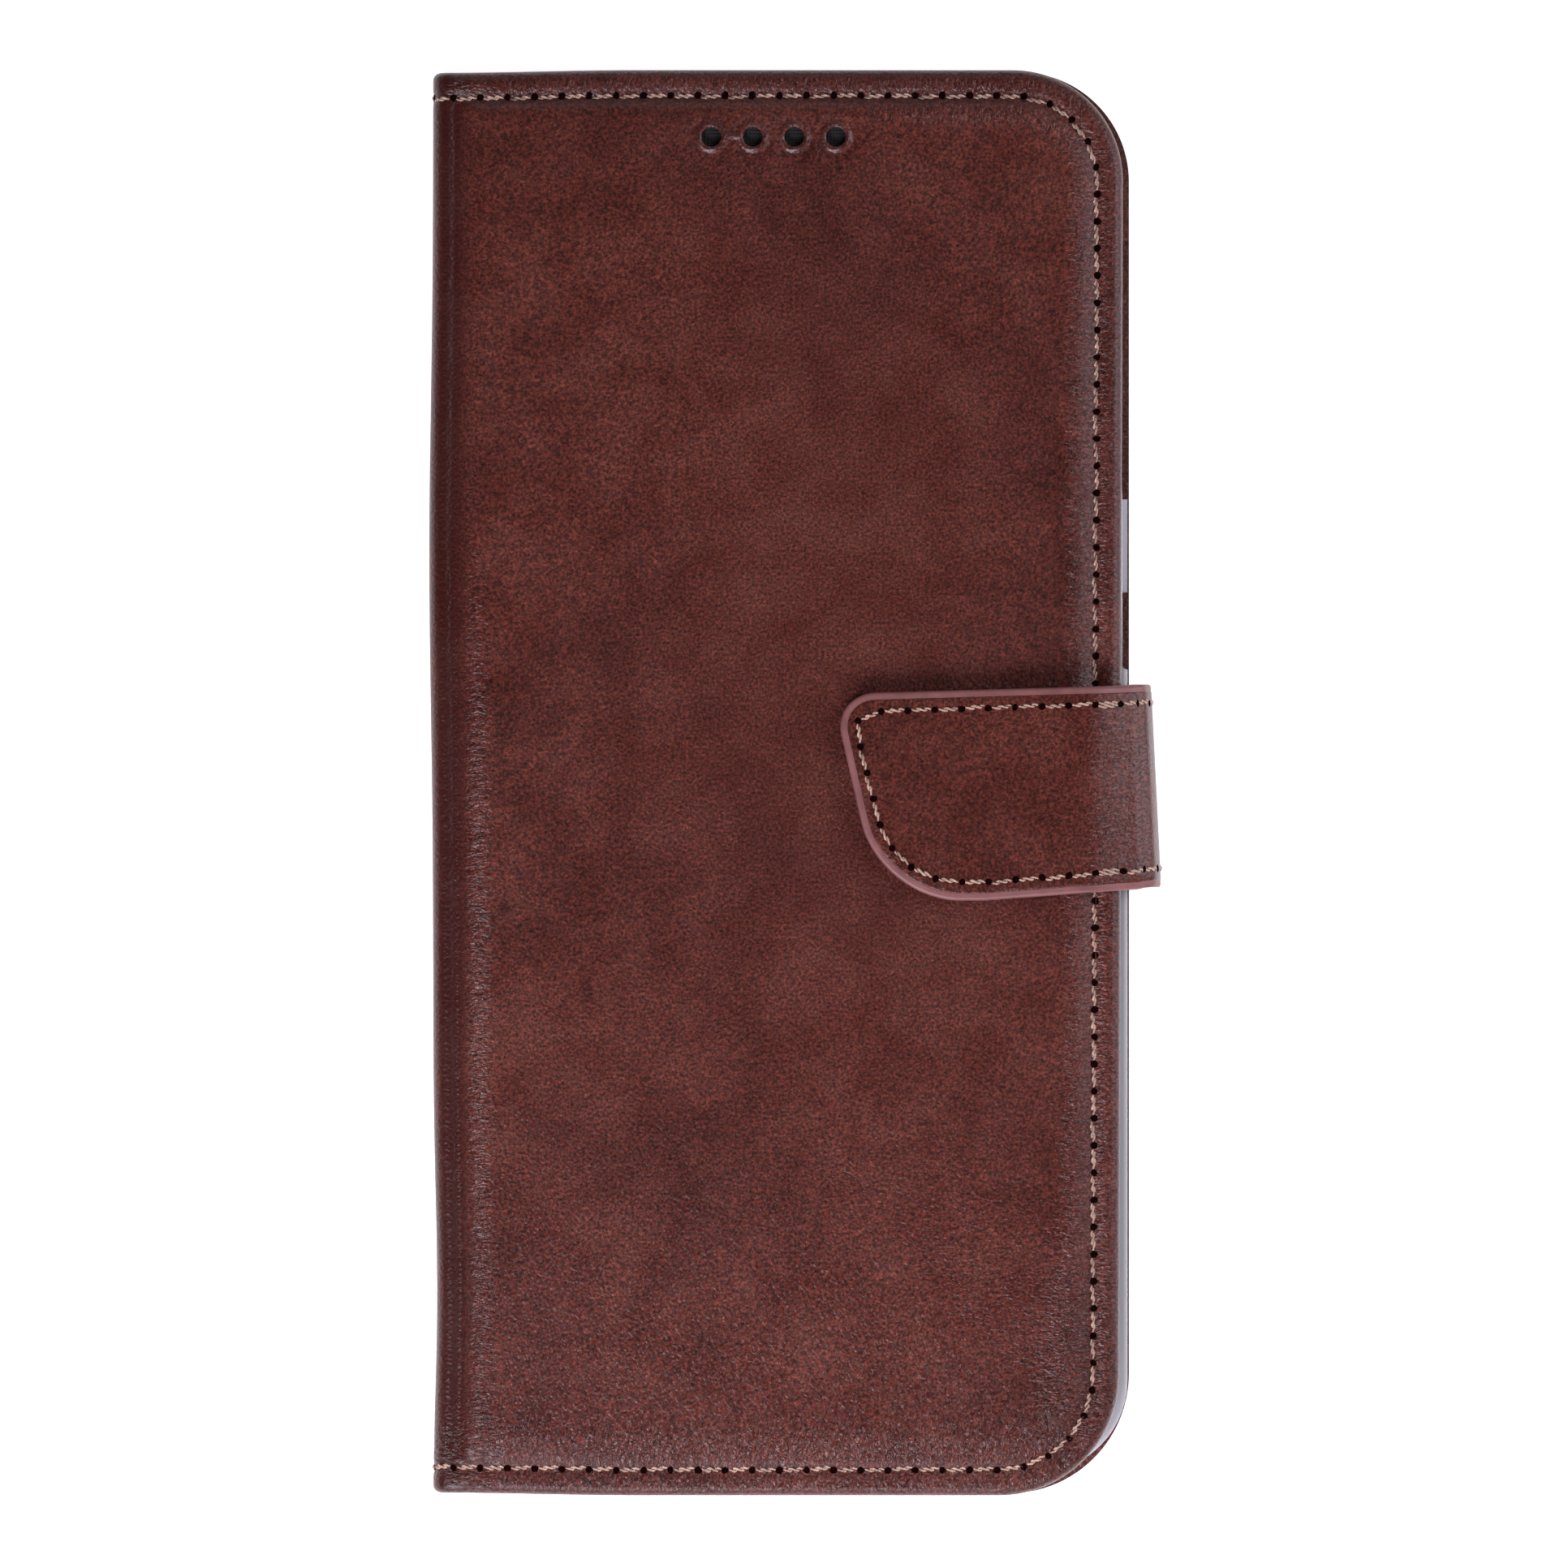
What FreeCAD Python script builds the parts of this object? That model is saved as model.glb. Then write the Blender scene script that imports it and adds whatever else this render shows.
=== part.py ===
import FreeCAD, Part
import math
import os

# Phone wallet case, closed, lying on its back. Millimetres.
# +Z points out of the front cover, +X from the spine to the opening edge and
# +Y to the phone's top end. The origin is the middle of the back cover's flat face.

# ---- how the covers are cut around the tray ----------------------------------------
end_margin = 2.6              # covers' ends beyond the tray's
edge_margin = 0.1             # back cover's opening edge beyond the tray's wall
spine_gap = 2.0               # between the tray and the spine's lining
front_short_top = 0.65        # how far the front cover stops short of the back, at the top
front_short_bottom = 1.2      # and at the bottom
corner_radius = 13.0          # the covers' two corners away from the spine
spine_corner_radius = 1.0
roll_radius = 2.0             # how the leather rolls over from the covers to the spine

# ---- cover layers ---------------------------------------------------------------
skin_thickness = 0.8
board_thickness = 1.0
lining_thickness = 0.6
rim_thickness = 0.8           # the skin turned over the boards' edge
crease_width = 5.5            # from the spine's face to the boards' edge
pad_rise = 0.8                # how far the padded panel stands above the margin
pad_margin = 5.2              # panel's edge from the cover's edge
pad_radius = 8.0
pad_edge_round = 0.6

# ---- clear phone tray -----------------------------------------------------------
phone_length = 160.0
phone_width = 74.6
phone_thickness = 8.2
phone_corner_radius = 9.5
tray_wall = 1.5
tray_floor = 1.2
tray_lip = 1.0
tray_lip_thickness = 1.0
tray_edge_round = 0.5
glue_thickness = 0.3
glue_inset = 4.0
key_recess_depth = 0.6
key_recess_low = 13.4
key_recess_high = 62.0

power_key_length = 11.0
power_key_middle = 28.0
volume_key_length = 22.0
volume_key_middle = 30.0
key_height = 3.8
key_radius = 1.7
key_clearance = 0.2
key_set_back = 0.2            # key's back from the tray's inner wall

camera_width = 23.0
camera_length = 40.0
camera_radius = 6.0
camera_from_edge = 5.45       # window's edge from the tray's, towards the opening edge
camera_from_end = 5.5         # and towards the earpiece end
camera_collar = 1.1
camera_clearance = 0.3
collar_stand_off = 0.5        # collar's end from the back cover's flat face

port_width = 12.0
port_height = 6.4
port_radius = 2.8
speaker_slot_width = 15.0
speaker_slot_height = 3.2
speaker_slot_middle = 22.0
jack_radius = 2.6
jack_middle = -20.0

# ---- pockets inside the front cover --------------------------------------------
pocket_thickness = 0.5
pocket_gap = 0.6              # between the pockets and the tray
pocket_radius = 3.0
card_pocket_width = 62.0
card_pocket_depth = 85.0      # foremost pocket; each one behind it stands a step higher
card_pocket_step = 14.0
card_pocket_margin = 4.0      # card pockets' bottom above the cash pocket's
cash_pocket_side = 2.3        # cash pocket's sides from the board's
cash_pocket_depth = 131.0
cash_pocket_margin = 7.1      # cash pocket's bottom from the cover's end

# ---- sound holes and clasp plate in the front cover ------------------------------
sound_hole_radius = 1.2
sound_hole_pitch = 4.9
sound_hole_count = 4
sound_hole_middle_x = -0.85
sound_hole_from_end = 7.9
sound_rim_radius = 2.1
sound_rim_height = 0.15
mesh_width = 22.0
mesh_height = 5.0
mesh_thickness = 0.2
keeper_width = 28.0
keeper_height = 14.0
keeper_thickness = 0.5

# ---- strap ----------------------------------------------------------------------
strap_top = 11.6
strap_bottom = -12.3
strap_stand_off = 3.2         # strap's outer face from the back cover's opening edge
strap_gap = 0.4               # under the tab
strap_outer_thickness = 0.8
strap_lining_thickness = 0.7
strap_core_thickness = 1.0
strap_bend_radius = 2.5
strap_root_thickness = 1.0
strap_root_depth = 11.0       # how far the tongue runs in between the back's layers
tab_reach = 35.05             # how far the tab reaches in over the front cover
tab_tip_top = 10.5
tab_tip_radius = 4.2
tab_heel_step = 5.6           # slanted end: its foot stands this far back from its tip
tab_heel_bottom = -13.9
tab_heel_radius = 12.0
tab_heel_length = 12.4        # length of the widest stretch of the bottom edge
magnet_radius = 5.0
magnet_spacing = 12.0
magnet_from_tip = 17.0
magnet_middle_y = -1.0

# ---- stitching --------------------------------------------------------------------
stitch_pitch = 3.2
stitch_gap = 0.8
stitch_width = 0.55
stitch_depth = 0.3
groove_width = 0.9
front_seam_inset = 3.0
back_seam_inset = 1.9
strap_seam_inset = 2.2
pocket_seam_inset = 1.6

# ---- heights worked out from the layers -------------------------------------------
cover_thickness = skin_thickness + board_thickness + lining_thickness
glue_top = cover_thickness + glue_thickness
tray_seat = glue_top + tray_floor
tray_lip_low = tray_seat + phone_thickness
tray_top = tray_lip_low + tray_lip_thickness
pocket_low = tray_top + pocket_gap
lining_low = pocket_low + 4 * pocket_thickness
margin_top = lining_low + cover_thickness
panel_top = margin_top + pad_rise
tab_low = panel_top + strap_gap
tab_thickness = strap_outer_thickness + strap_core_thickness + strap_lining_thickness
tab_top = tab_low + tab_thickness

# ---- places worked out from the sizes -----------------------------------------------
case_height = phone_length + 2 * tray_wall + 2 * end_margin
case_width = phone_width + 2 * tray_wall + edge_margin + spine_gap + cover_thickness
half_height = case_height / 2
spine_x = -case_width / 2
edge_x = case_width / 2
front_edge_top = edge_x - front_short_top
front_edge_bottom = edge_x - front_short_bottom
board_x = spine_x + crease_width
strap_x = edge_x + strap_stand_off
strap_z = skin_thickness
tray_right = edge_x - edge_margin
tray_left = tray_right - phone_width - 2 * tray_wall
tray_half = phone_length / 2 + tray_wall
sound_hole_y = half_height - sound_hole_from_end
tab_tip_x = edge_x - tab_reach
tab_heel_x = tab_tip_x + tab_heel_step
tab_heel_end_x = tab_heel_x + tab_heel_length
magnet_middle_x = tab_tip_x + magnet_from_tip
cash_pocket_bottom = -half_height + cash_pocket_margin
card_pocket_bottom = cash_pocket_bottom + card_pocket_margin
far = 300.0                   # longer than anything in the case

V = FreeCAD.Vector


def point(u, v, w, axis):
    """A point from two coordinates in a plane and one along that plane's axis."""
    if axis == "x":
        return V(w, u, v)
    if axis == "y":
        return V(u, w, v)
    return V(u, v, w)


def corner_points(corners, index):
    """Start, middle and end of one corner's rounding, in the plane."""
    x, y, radius = corners[index]
    here = V(x, y, 0)
    before = corners[index - 1]
    after = corners[(index + 1) % len(corners)]
    to_before = (V(before[0], before[1], 0) - here).normalize()
    to_after = (V(after[0], after[1], 0) - here).normalize()
    if radius <= 0:
        return here, None, here
    half = math.acos(to_before.dot(to_after)) / 2
    inward = (to_before + to_after).normalize()
    start = here + to_before * (radius / math.tan(half))
    end = here + to_after * (radius / math.tan(half))
    middle = here + inward * (radius / math.sin(half) - radius)
    return start, middle, end


def closed_wire(corners, level, axis):
    """A closed outline of straight sides with rounded corners (u, v, radius)."""
    edges = []
    last = corner_points(corners, len(corners) - 1)[2]
    for index in range(len(corners)):
        start, middle, end = corner_points(corners, index)
        a = point(last.x, last.y, level, axis)
        b = point(start.x, start.y, level, axis)
        if (a - b).Length > 1e-6:
            edges.append(Part.LineSegment(a, b).toShape())
        if middle is not None:
            c = point(middle.x, middle.y, level, axis)
            d = point(end.x, end.y, level, axis)
            edges.append(Part.Arc(b, c, d).toShape())
        last = end
    return Part.Wire(edges)


def prism(corners, low, high, axis="z"):
    """A solid with a rounded outline, between two levels along an axis."""
    face = Part.Face(closed_wire(corners, low, axis))
    return face.extrude(point(0, 0, high - low, axis))


def box(x, y, z):
    """A box from three (low, high) pairs."""
    return Part.makeBox(x[1] - x[0], y[1] - y[0], z[1] - z[0], V(x[0], y[0], z[0]))


def rounded_box(u, v, radius, low, high, axis="z"):
    """A box from two (low, high) pairs with its four upright edges rounded."""
    corners = [
        (u[0], v[0], radius),
        (u[1], v[0], radius),
        (u[1], v[1], radius),
        (u[0], v[1], radius),
    ]
    return prism(corners, low, high, axis)


def about(middle, length):
    """The (low, high) pair of a length about its middle."""
    return (middle - length / 2, middle + length / 2)


def cylinder(x, y, radius, low, high):
    return Part.makeCylinder(radius, high - low, V(x, y, low))


def one_solid(shape):
    """The single clean solid that a step should have left."""
    shape = shape.removeSplitter()
    solids = shape.Solids
    if len(solids) != 1:
        raise ValueError("expected one solid, found %d" % len(solids))
    return solids[0]


# ---- cover outlines, seen from the front ------------------------------------------
def cover_corners(edge_top, edge_bottom, inset, left=spine_x):
    """A cover's outline, moved in by inset on every side but the spine's."""
    spine_radius = spine_corner_radius if inset <= 0 else 0
    radius = max(corner_radius - inset, 0.5)
    y = half_height - inset
    return [
        (left, -y, spine_radius),
        (edge_bottom - inset, -y, radius),
        (edge_top - inset, y, radius),
        (left, y, spine_radius),
    ]


def back_prism(inset, low, high, left=spine_x):
    return prism(cover_corners(edge_x, edge_x, inset, left), low, high)


def front_prism(inset, low, high, left=spine_x):
    corners = cover_corners(front_edge_top, front_edge_bottom, inset, left)
    return prism(corners, low, high)


# ---- the wrap of covers and spine, seen from the end -------------------------------
def wrap(depth):
    """Everything inside the wrap at a depth below its outer face, open to the right."""
    radius = max(roll_radius - depth, 0.3)
    corners = [
        (spine_x + depth, depth, radius),
        (far, depth, 0),
        (far, margin_top - depth, 0),
        (spine_x + depth, margin_top - depth, radius),
    ]
    return prism(corners, -far, far, "y")


def wrap_layer(outer, inner):
    return wrap(outer).cut(wrap(inner))


# The three rigid bodies meet at slanting joints that run in from the two fold lines.
middle_z = panel_top / 2
fold_reach = middle_z


def side_view_wedge(points):
    return prism([(x, z, 0) for x, z in points], -far, far, "y")


back_sector = side_view_wedge(
    [
        (spine_x, 0),
        (spine_x, -far),
        (far, -far),
        (far, middle_z),
        (spine_x + fold_reach, middle_z),
    ]
)
spine_sector = side_view_wedge(
    [
        (spine_x, 0),
        (spine_x + fold_reach, middle_z),
        (spine_x, panel_top),
        (-far, panel_top),
        (-far, 0),
    ]
)
front_sector = side_view_wedge(
    [
        (spine_x, panel_top),
        (spine_x + fold_reach, middle_z),
        (far, middle_z),
        (far, far),
        (spine_x, far),
    ]
)

# ---- seams --------------------------------------------------------------------------
def stitch(start, end, normal):
    """One thread between two needle holes, laid in the surface that normal leaves."""
    along = (end - start).normalize()
    side = normal.cross(along) * (stitch_width / 2)
    a = start + along * (stitch_gap / 2)
    b = end - along * (stitch_gap / 2)
    face = Part.Face(Part.makePolygon([a + side, b + side, b - side, a - side, a + side]))
    return face.extrude(normal * -stitch_depth)


def stitches(wire, normal):
    """Threads at even steps along an open seam."""
    count = max(round(wire.Length / stitch_pitch), 1)
    points = wire.discretize(Number=count + 1)
    return [stitch(points[i], points[i + 1], normal) for i in range(count)]


def open_wire(points, level, axis="z"):
    """An open seam line through points (u, v, radius)."""
    corners = list(points)
    edges = []
    last = V(corners[0][0], corners[0][1], 0)
    for index in range(1, len(corners)):
        if index == len(corners) - 1:
            start, middle, end = V(corners[index][0], corners[index][1], 0), None, None
        else:
            start, middle, end = corner_points(corners, index)
        a = point(last.x, last.y, level, axis)
        b = point(start.x, start.y, level, axis)
        edges.append(Part.LineSegment(a, b).toShape())
        if middle is not None:
            c = point(middle.x, middle.y, level, axis)
            d = point(end.x, end.y, level, axis)
            edges.append(Part.Arc(b, c, d).toShape())
            last = end
    return Part.Wire(edges)


def cover_seam(edge_top, edge_bottom, inset, left, level):
    """The seam line of a cover: bottom edge, opening edge and top edge."""
    y = half_height - inset
    radius = corner_radius - inset
    points = [
        (left, -y, 0),
        (edge_bottom - inset, -y, radius),
        (edge_top - inset, y, radius),
        (left, y, 0),
    ]
    return open_wire(points, level)


def cover_groove(outline_prism, inset, low, high, left):
    """The shallow channel a cover's seam lies in."""
    outer = outline_prism(inset - groove_width / 2, low, high, left)
    inner = outline_prism(inset + groove_width / 2, low - 1, high + 1, left - 1)
    return outer.cut(inner)


up = V(0, 0, 1)
down = V(0, 0, -1)
left_way = V(-1, 0, 0)
right_way = V(1, 0, 0)
seam_start = spine_x + roll_radius + 0.4

parts = {}

# ---- camera window, cut right through the back ---------------------------------------
camera_right = tray_right - camera_from_edge
camera_top = tray_half - camera_from_end
camera_x = (camera_right - camera_width, camera_right)
camera_y = (camera_top - camera_length, camera_top)


def camera_prism(inset, low, high):
    """The camera window's outline moved in by inset."""
    return rounded_box(
        (camera_x[0] + inset, camera_x[1] - inset),
        (camera_y[0] + inset, camera_y[1] - inset),
        camera_radius - inset,
        low,
        high,
    )


camera_hole = camera_prism(0, -1, tray_seat + 1)

# ---- strap layers ------------------------------------------------------------------
def strap_inside(depth):
    """Everything inside the strap at a depth below its outer face, open to the left."""
    radius = max(strap_bend_radius - depth, 0.3)
    corners = [
        (-far, strap_z + depth, 0),
        (strap_x - depth, strap_z + depth, radius),
        (strap_x - depth, tab_top - depth, radius),
        (-far, tab_top - depth, 0),
    ]
    return prism(corners, -far, far, "y")


def strap_layer(outer, inner):
    return strap_inside(outer).cut(strap_inside(inner))


strap_middle_z = (strap_z + tab_top) / 2
strap_reach = strap_middle_z - strap_z
root_sector = side_view_wedge(
    [
        (strap_x, strap_z),
        (strap_x - strap_reach, strap_middle_z),
        (-far, strap_middle_z),
        (-far, -far),
        (strap_x, -far),
    ]
)
side_sector = side_view_wedge(
    [
        (strap_x, strap_z),
        (far, strap_z),
        (far, tab_top),
        (strap_x, tab_top),
        (strap_x - strap_reach, strap_middle_z),
    ]
)
tab_sector = side_view_wedge(
    [
        (strap_x, tab_top),
        (strap_x, far),
        (-far, far),
        (-far, strap_middle_z),
        (strap_x - strap_reach, strap_middle_z),
    ]
)
strap_width_slab = box((-far, far), (strap_bottom, strap_top), (-far, far))
tab_corners = [
    (strap_x + 1, strap_bottom, 0),
    (tab_heel_end_x, tab_heel_bottom, 0),
    (tab_heel_x, tab_heel_bottom, tab_heel_radius),
    (tab_tip_x, tab_tip_top, tab_tip_radius),
    (strap_x + 1, strap_top, 0),
]
tab_prism = prism(tab_corners, 0, far)

root_start = edge_x - strap_root_depth
strap_root = strap_layer(0, strap_root_thickness)
strap_root = strap_root.common(root_sector).common(strap_width_slab)
strap_root = strap_root.common(box((root_start, far), (-far, far), (-far, far)))
parts["strap_root"] = one_solid(strap_root)

# ---- back cover --------------------------------------------------------------------
back_skin = wrap_layer(0, skin_thickness).common(back_prism(0, -1, middle_z))
back_rim = back_prism(0, 0, cover_thickness)
back_rim = back_rim.cut(back_prism(rim_thickness, -1, cover_thickness + 1, spine_x - 5))
back_rim = back_rim.common(wrap(0))
back_skin = back_skin.fuse(back_rim).common(back_sector)
back_skin = back_skin.cut(camera_hole)
back_skin = back_skin.cut(
    cover_groove(back_prism, back_seam_inset, -1, stitch_depth, seam_start)
)
back_skin = back_skin.cut(parts["strap_root"])
parts["back_outer_skin"] = one_solid(back_skin)

board_low = skin_thickness
board_high = skin_thickness + board_thickness
back_board = back_prism(rim_thickness, board_low, board_high, board_x)
back_board = back_board.cut(camera_hole).cut(parts["strap_root"])
parts["back_stiffener_board"] = one_solid(back_board)

back_lining = wrap_layer(board_high, cover_thickness)
back_lining = back_lining.common(back_prism(rim_thickness, 0, middle_z, spine_x - 5))
back_lining = back_lining.common(back_sector).cut(camera_hole)
inner_groove_low = cover_thickness - stitch_depth
back_lining = back_lining.cut(
    cover_groove(back_prism, back_seam_inset, inner_groove_low, middle_z, seam_start + 3)
)
parts["back_lining"] = one_solid(back_lining)

seam = cover_seam(edge_x, edge_x, back_seam_inset, seam_start, 0)
back_threads = stitches(seam, down)
seam = cover_seam(edge_x, edge_x, back_seam_inset, seam_start + 3, cover_thickness)
back_threads += stitches(seam, up)
parts["back_seam_thread"] = Part.makeCompound(back_threads)

# ---- phone tray ----------------------------------------------------------------------
def tray_prism(inset, low, high):
    return rounded_box(
        (tray_left + inset, tray_right - inset),
        (-tray_half + inset, tray_half - inset),
        phone_corner_radius + tray_wall - inset,
        low,
        high,
    )


def round_level_edges(solid, level, radius):
    """Round the outline edges that lie at one height."""
    edges = [
        edge
        for edge in solid.Edges
        if abs(edge.BoundBox.ZMin - level) < 1e-6 and abs(edge.BoundBox.ZMax - level) < 1e-6
    ]
    return solid.makeFillet(radius, edges)


tray = tray_prism(0, glue_top, tray_top)
tray = round_level_edges(tray, tray_top, tray_edge_round)
tray = tray.cut(tray_prism(tray_wall, tray_seat, tray_lip_low))
tray = tray.cut(tray_prism(tray_wall + tray_lip, tray_lip_low - 0.5, tray_top + 1))
recess_x = tray_right - key_recess_depth
tray = tray.cut(
    rounded_box(
        (recess_x, tray_right + 5),
        (key_recess_low, key_recess_high),
        0.5,
        glue_top - 1,
        tray_top + 1,
    )
)
collar = camera_prism(camera_clearance, collar_stand_off, tray_seat)
tray = tray.fuse(collar)
tray = tray.cut(camera_prism(camera_clearance + camera_collar, -1, tray_seat + 1))

key_z = about(tray_seat + phone_thickness / 2, key_height)


def key_prism(middle, length, grow, low, high):
    return rounded_box(
        (middle - length / 2 - grow, middle + length / 2 + grow),
        (key_z[0] - grow, key_z[1] + grow),
        key_radius + grow,
        low,
        high,
        "x",
    )


inner_right = tray_right - tray_wall
inner_left = tray_left + tray_wall
tray = tray.cut(
    key_prism(power_key_middle, power_key_length, key_clearance, inner_right - 1, far)
)
tray = tray.cut(
    key_prism(volume_key_middle, volume_key_length, key_clearance, -far, inner_left + 1)
)
port_z = tray_seat + phone_thickness / 2
end_low = -tray_half - 5
end_high = -tray_half + tray_wall + 0.5
tray = tray.cut(
    rounded_box(about(0, port_width), about(port_z, port_height), port_radius, end_low, end_high, "y")
)
tray = tray.cut(
    rounded_box(
        about(speaker_slot_middle, speaker_slot_width),
        about(port_z, speaker_slot_height),
        speaker_slot_height / 2 - 0.05,
        end_low,
        end_high,
        "y",
    )
)
tray = tray.cut(
    Part.makeCylinder(jack_radius, end_high - end_low, V(jack_middle, end_low, port_z), V(0, 1, 0))
)
parts["phone_tray"] = one_solid(tray)

power_key = key_prism(power_key_middle, power_key_length, 0, inner_right + key_set_back, tray_right)
parts["tray_power_key"] = one_solid(power_key)
volume_face = tray_left - key_recess_depth
volume_key = key_prism(
    volume_key_middle, volume_key_length, 0, volume_face, inner_left - key_set_back
)
parts["tray_volume_key"] = one_solid(volume_key)

glue_pad = tray_prism(glue_inset, cover_thickness, glue_top)
glue_pad = glue_pad.cut(camera_prism(-1.0, 0, tray_seat))
parts["tray_adhesive_pad"] = one_solid(glue_pad)

# ---- spine ---------------------------------------------------------------------------
spine_inner_x = spine_x + cover_thickness
spine_block = box((spine_x - 1, spine_inner_x), (-half_height, half_height), (-1, far))
spine_skin = wrap_layer(0, skin_thickness).common(
    box((spine_x - 1, middle_z), (-half_height, half_height), (-1, far))
)
spine_rim = spine_block.cut(
    box((-far, far), about(0, case_height - 2 * rim_thickness), (-far, far))
)
spine_skin = spine_skin.fuse(spine_rim.common(wrap(0))).common(spine_sector)
groove_y = half_height - front_seam_inset
groove_reach = spine_x + stitch_depth
spine_seam_low = roll_radius + 1.2
spine_seam_high = margin_top - roll_radius - 1.2
for side in (-1, 1):
    spine_skin = spine_skin.cut(
        box((-far, groove_reach), about(side * groove_y, groove_width), (spine_seam_low, spine_seam_high))
    )
parts["spine_outer_skin"] = one_solid(spine_skin)

strip_low = cover_thickness + 1.0
strip_high = margin_top - cover_thickness - 1.0
parts["spine_stiffener_strip"] = box(
    (spine_x + skin_thickness, spine_x + skin_thickness + board_thickness),
    about(0, case_height - 4 * rim_thickness),
    (strip_low, strip_high),
)
spine_lining = wrap_layer(board_high, cover_thickness).common(spine_sector)
spine_lining = spine_lining.common(
    box((-far, middle_z), about(0, case_height - 2 * rim_thickness), (-far, far))
)
parts["spine_lining"] = one_solid(spine_lining)

spine_threads = []
for side in (-1, 1):
    line = Part.makePolygon(
        [
            V(spine_x, side * groove_y, spine_seam_low),
            V(spine_x, side * groove_y, spine_seam_high),
        ]
    )
    spine_threads += stitches(line, left_way)
parts["spine_seam_thread"] = Part.makeCompound(spine_threads)

# ---- front cover -----------------------------------------------------------------------
def sound_hole_x(index):
    return sound_hole_middle_x + (index - (sound_hole_count - 1) / 2) * sound_hole_pitch


def sound_cylinders(radius, low, high):
    solids = [
        cylinder(sound_hole_x(index), sound_hole_y, radius, low, high)
        for index in range(sound_hole_count)
    ]
    return solids[0].multiFuse(solids[1:])


front_board_low = lining_low + lining_thickness
front_board_high = front_board_low + board_thickness
sound_holes = sound_cylinders(sound_hole_radius, lining_low - 1, panel_top + 1)

front_skin = wrap_layer(0, skin_thickness)
front_skin = front_skin.common(front_prism(0, middle_z, margin_top + 1))
front_rim = front_prism(0, lining_low, margin_top)
front_rim = front_rim.cut(front_prism(rim_thickness, lining_low - 1, margin_top + 1, spine_x - 5))
front_rim = front_rim.common(wrap(0))
front_skin = front_skin.fuse(front_rim)


def panel_corners(inset):
    """The padded panel's outline."""
    y = half_height - pad_margin - inset
    radius = pad_radius - inset
    left = board_x + 0.6 + inset
    return [
        (left, -y, 2.0),
        (front_edge_bottom - pad_margin - inset, -y, radius),
        (front_edge_top - pad_margin - inset, y, radius),
        (left, y, 2.0),
    ]


panel = prism(panel_corners(0), margin_top - skin_thickness, panel_top)
panel = round_level_edges(panel, panel_top, pad_edge_round)
front_skin = front_skin.fuse(panel)
front_skin = front_skin.fuse(
    sound_cylinders(sound_rim_radius, panel_top - 0.4, panel_top + sound_rim_height)
)
foam_outline = panel_corners(skin_thickness)
foam_space = prism(foam_outline, front_board_high, margin_top)
front_skin = front_skin.cut(foam_space).cut(sound_holes)
front_skin = front_skin.common(front_sector)
front_skin = front_skin.cut(
    cover_groove(front_prism, front_seam_inset, margin_top - stitch_depth, margin_top + 1, seam_start)
)
parts["front_outer_skin"] = one_solid(front_skin)

mesh_box = box(
    about(sound_hole_middle_x, mesh_width),
    about(sound_hole_y, mesh_height),
    (margin_top - mesh_thickness, margin_top),
)
mesh_plate = mesh_box.common(foam_space)
parts["speaker_mesh"] = one_solid(mesh_plate)
foam = foam_space.cut(mesh_plate).cut(sound_holes)
parts["front_foam_pad"] = one_solid(foam)

keeper = rounded_box(
    about(magnet_middle_x, keeper_width),
    about(magnet_middle_y, keeper_height),
    2.0,
    front_board_high - keeper_thickness,
    front_board_high,
)
parts["clasp_keeper_plate"] = keeper
front_board = front_prism(rim_thickness, front_board_low, front_board_high, board_x)
parts["front_stiffener_board"] = one_solid(front_board.cut(keeper).cut(sound_holes))

front_lining = wrap_layer(board_high, cover_thickness)
front_lining = front_lining.common(
    front_prism(rim_thickness, middle_z, margin_top, spine_x - 5)
)
front_lining = front_lining.common(front_sector).cut(sound_holes)
front_lining = front_lining.cut(
    cover_groove(
        front_prism, front_seam_inset, lining_low - 1, lining_low + stitch_depth, seam_start + 3
    )
)
parts["front_lining"] = one_solid(front_lining)

seam = cover_seam(front_edge_top, front_edge_bottom, front_seam_inset, seam_start, margin_top)
front_threads = stitches(seam, up)
seam = cover_seam(
    front_edge_top, front_edge_bottom, front_seam_inset, seam_start + 3, lining_low
)
front_threads += stitches(seam, down)
parts["front_seam_thread"] = Part.makeCompound(front_threads)

# ---- pockets on the inside of the front cover --------------------------------------------
front_edge_middle = (front_edge_top + front_edge_bottom) / 2
pocket_middle_x = (board_x + front_edge_middle) / 2
cash_pocket_width = front_edge_middle - board_x - 2 * cash_pocket_side
cash_low = lining_low - pocket_thickness
parts["cash_pocket_panel"] = rounded_box(
    about(pocket_middle_x, cash_pocket_width),
    (cash_pocket_bottom, cash_pocket_bottom + cash_pocket_depth),
    pocket_radius,
    cash_low,
    lining_low,
)
pocket_threads = []
seam_x = card_pocket_width / 2 - pocket_seam_inset
seam_bottom = card_pocket_bottom + pocket_seam_inset
for index in range(3):
    top = card_pocket_bottom + card_pocket_depth + (2 - index) * card_pocket_step
    high = cash_low - index * pocket_thickness
    low = high - pocket_thickness
    parts["card_pocket_panel_%d" % (index + 1)] = rounded_box(
        about(pocket_middle_x, card_pocket_width),
        (card_pocket_bottom, top),
        pocket_radius,
        low,
        high,
    )
    if index == 2:
        line = open_wire(
            [
                (pocket_middle_x - seam_x, top - pocket_radius, 0),
                (pocket_middle_x - seam_x, seam_bottom, 2.0),
                (pocket_middle_x + seam_x, seam_bottom, 2.0),
                (pocket_middle_x + seam_x, top - pocket_radius, 0),
            ],
            low - stitch_depth,
        )
        pocket_threads += stitches(line, down)
    else:
        for side in (-1, 1):
            x = pocket_middle_x + side * seam_x
            line = Part.makePolygon(
                [
                    V(x, top - card_pocket_step + 0.6, low - stitch_depth),
                    V(x, top - pocket_radius, low - stitch_depth),
                ]
            )
            pocket_threads += stitches(line, down)
parts["pocket_seam_thread"] = Part.makeCompound(pocket_threads)

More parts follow.
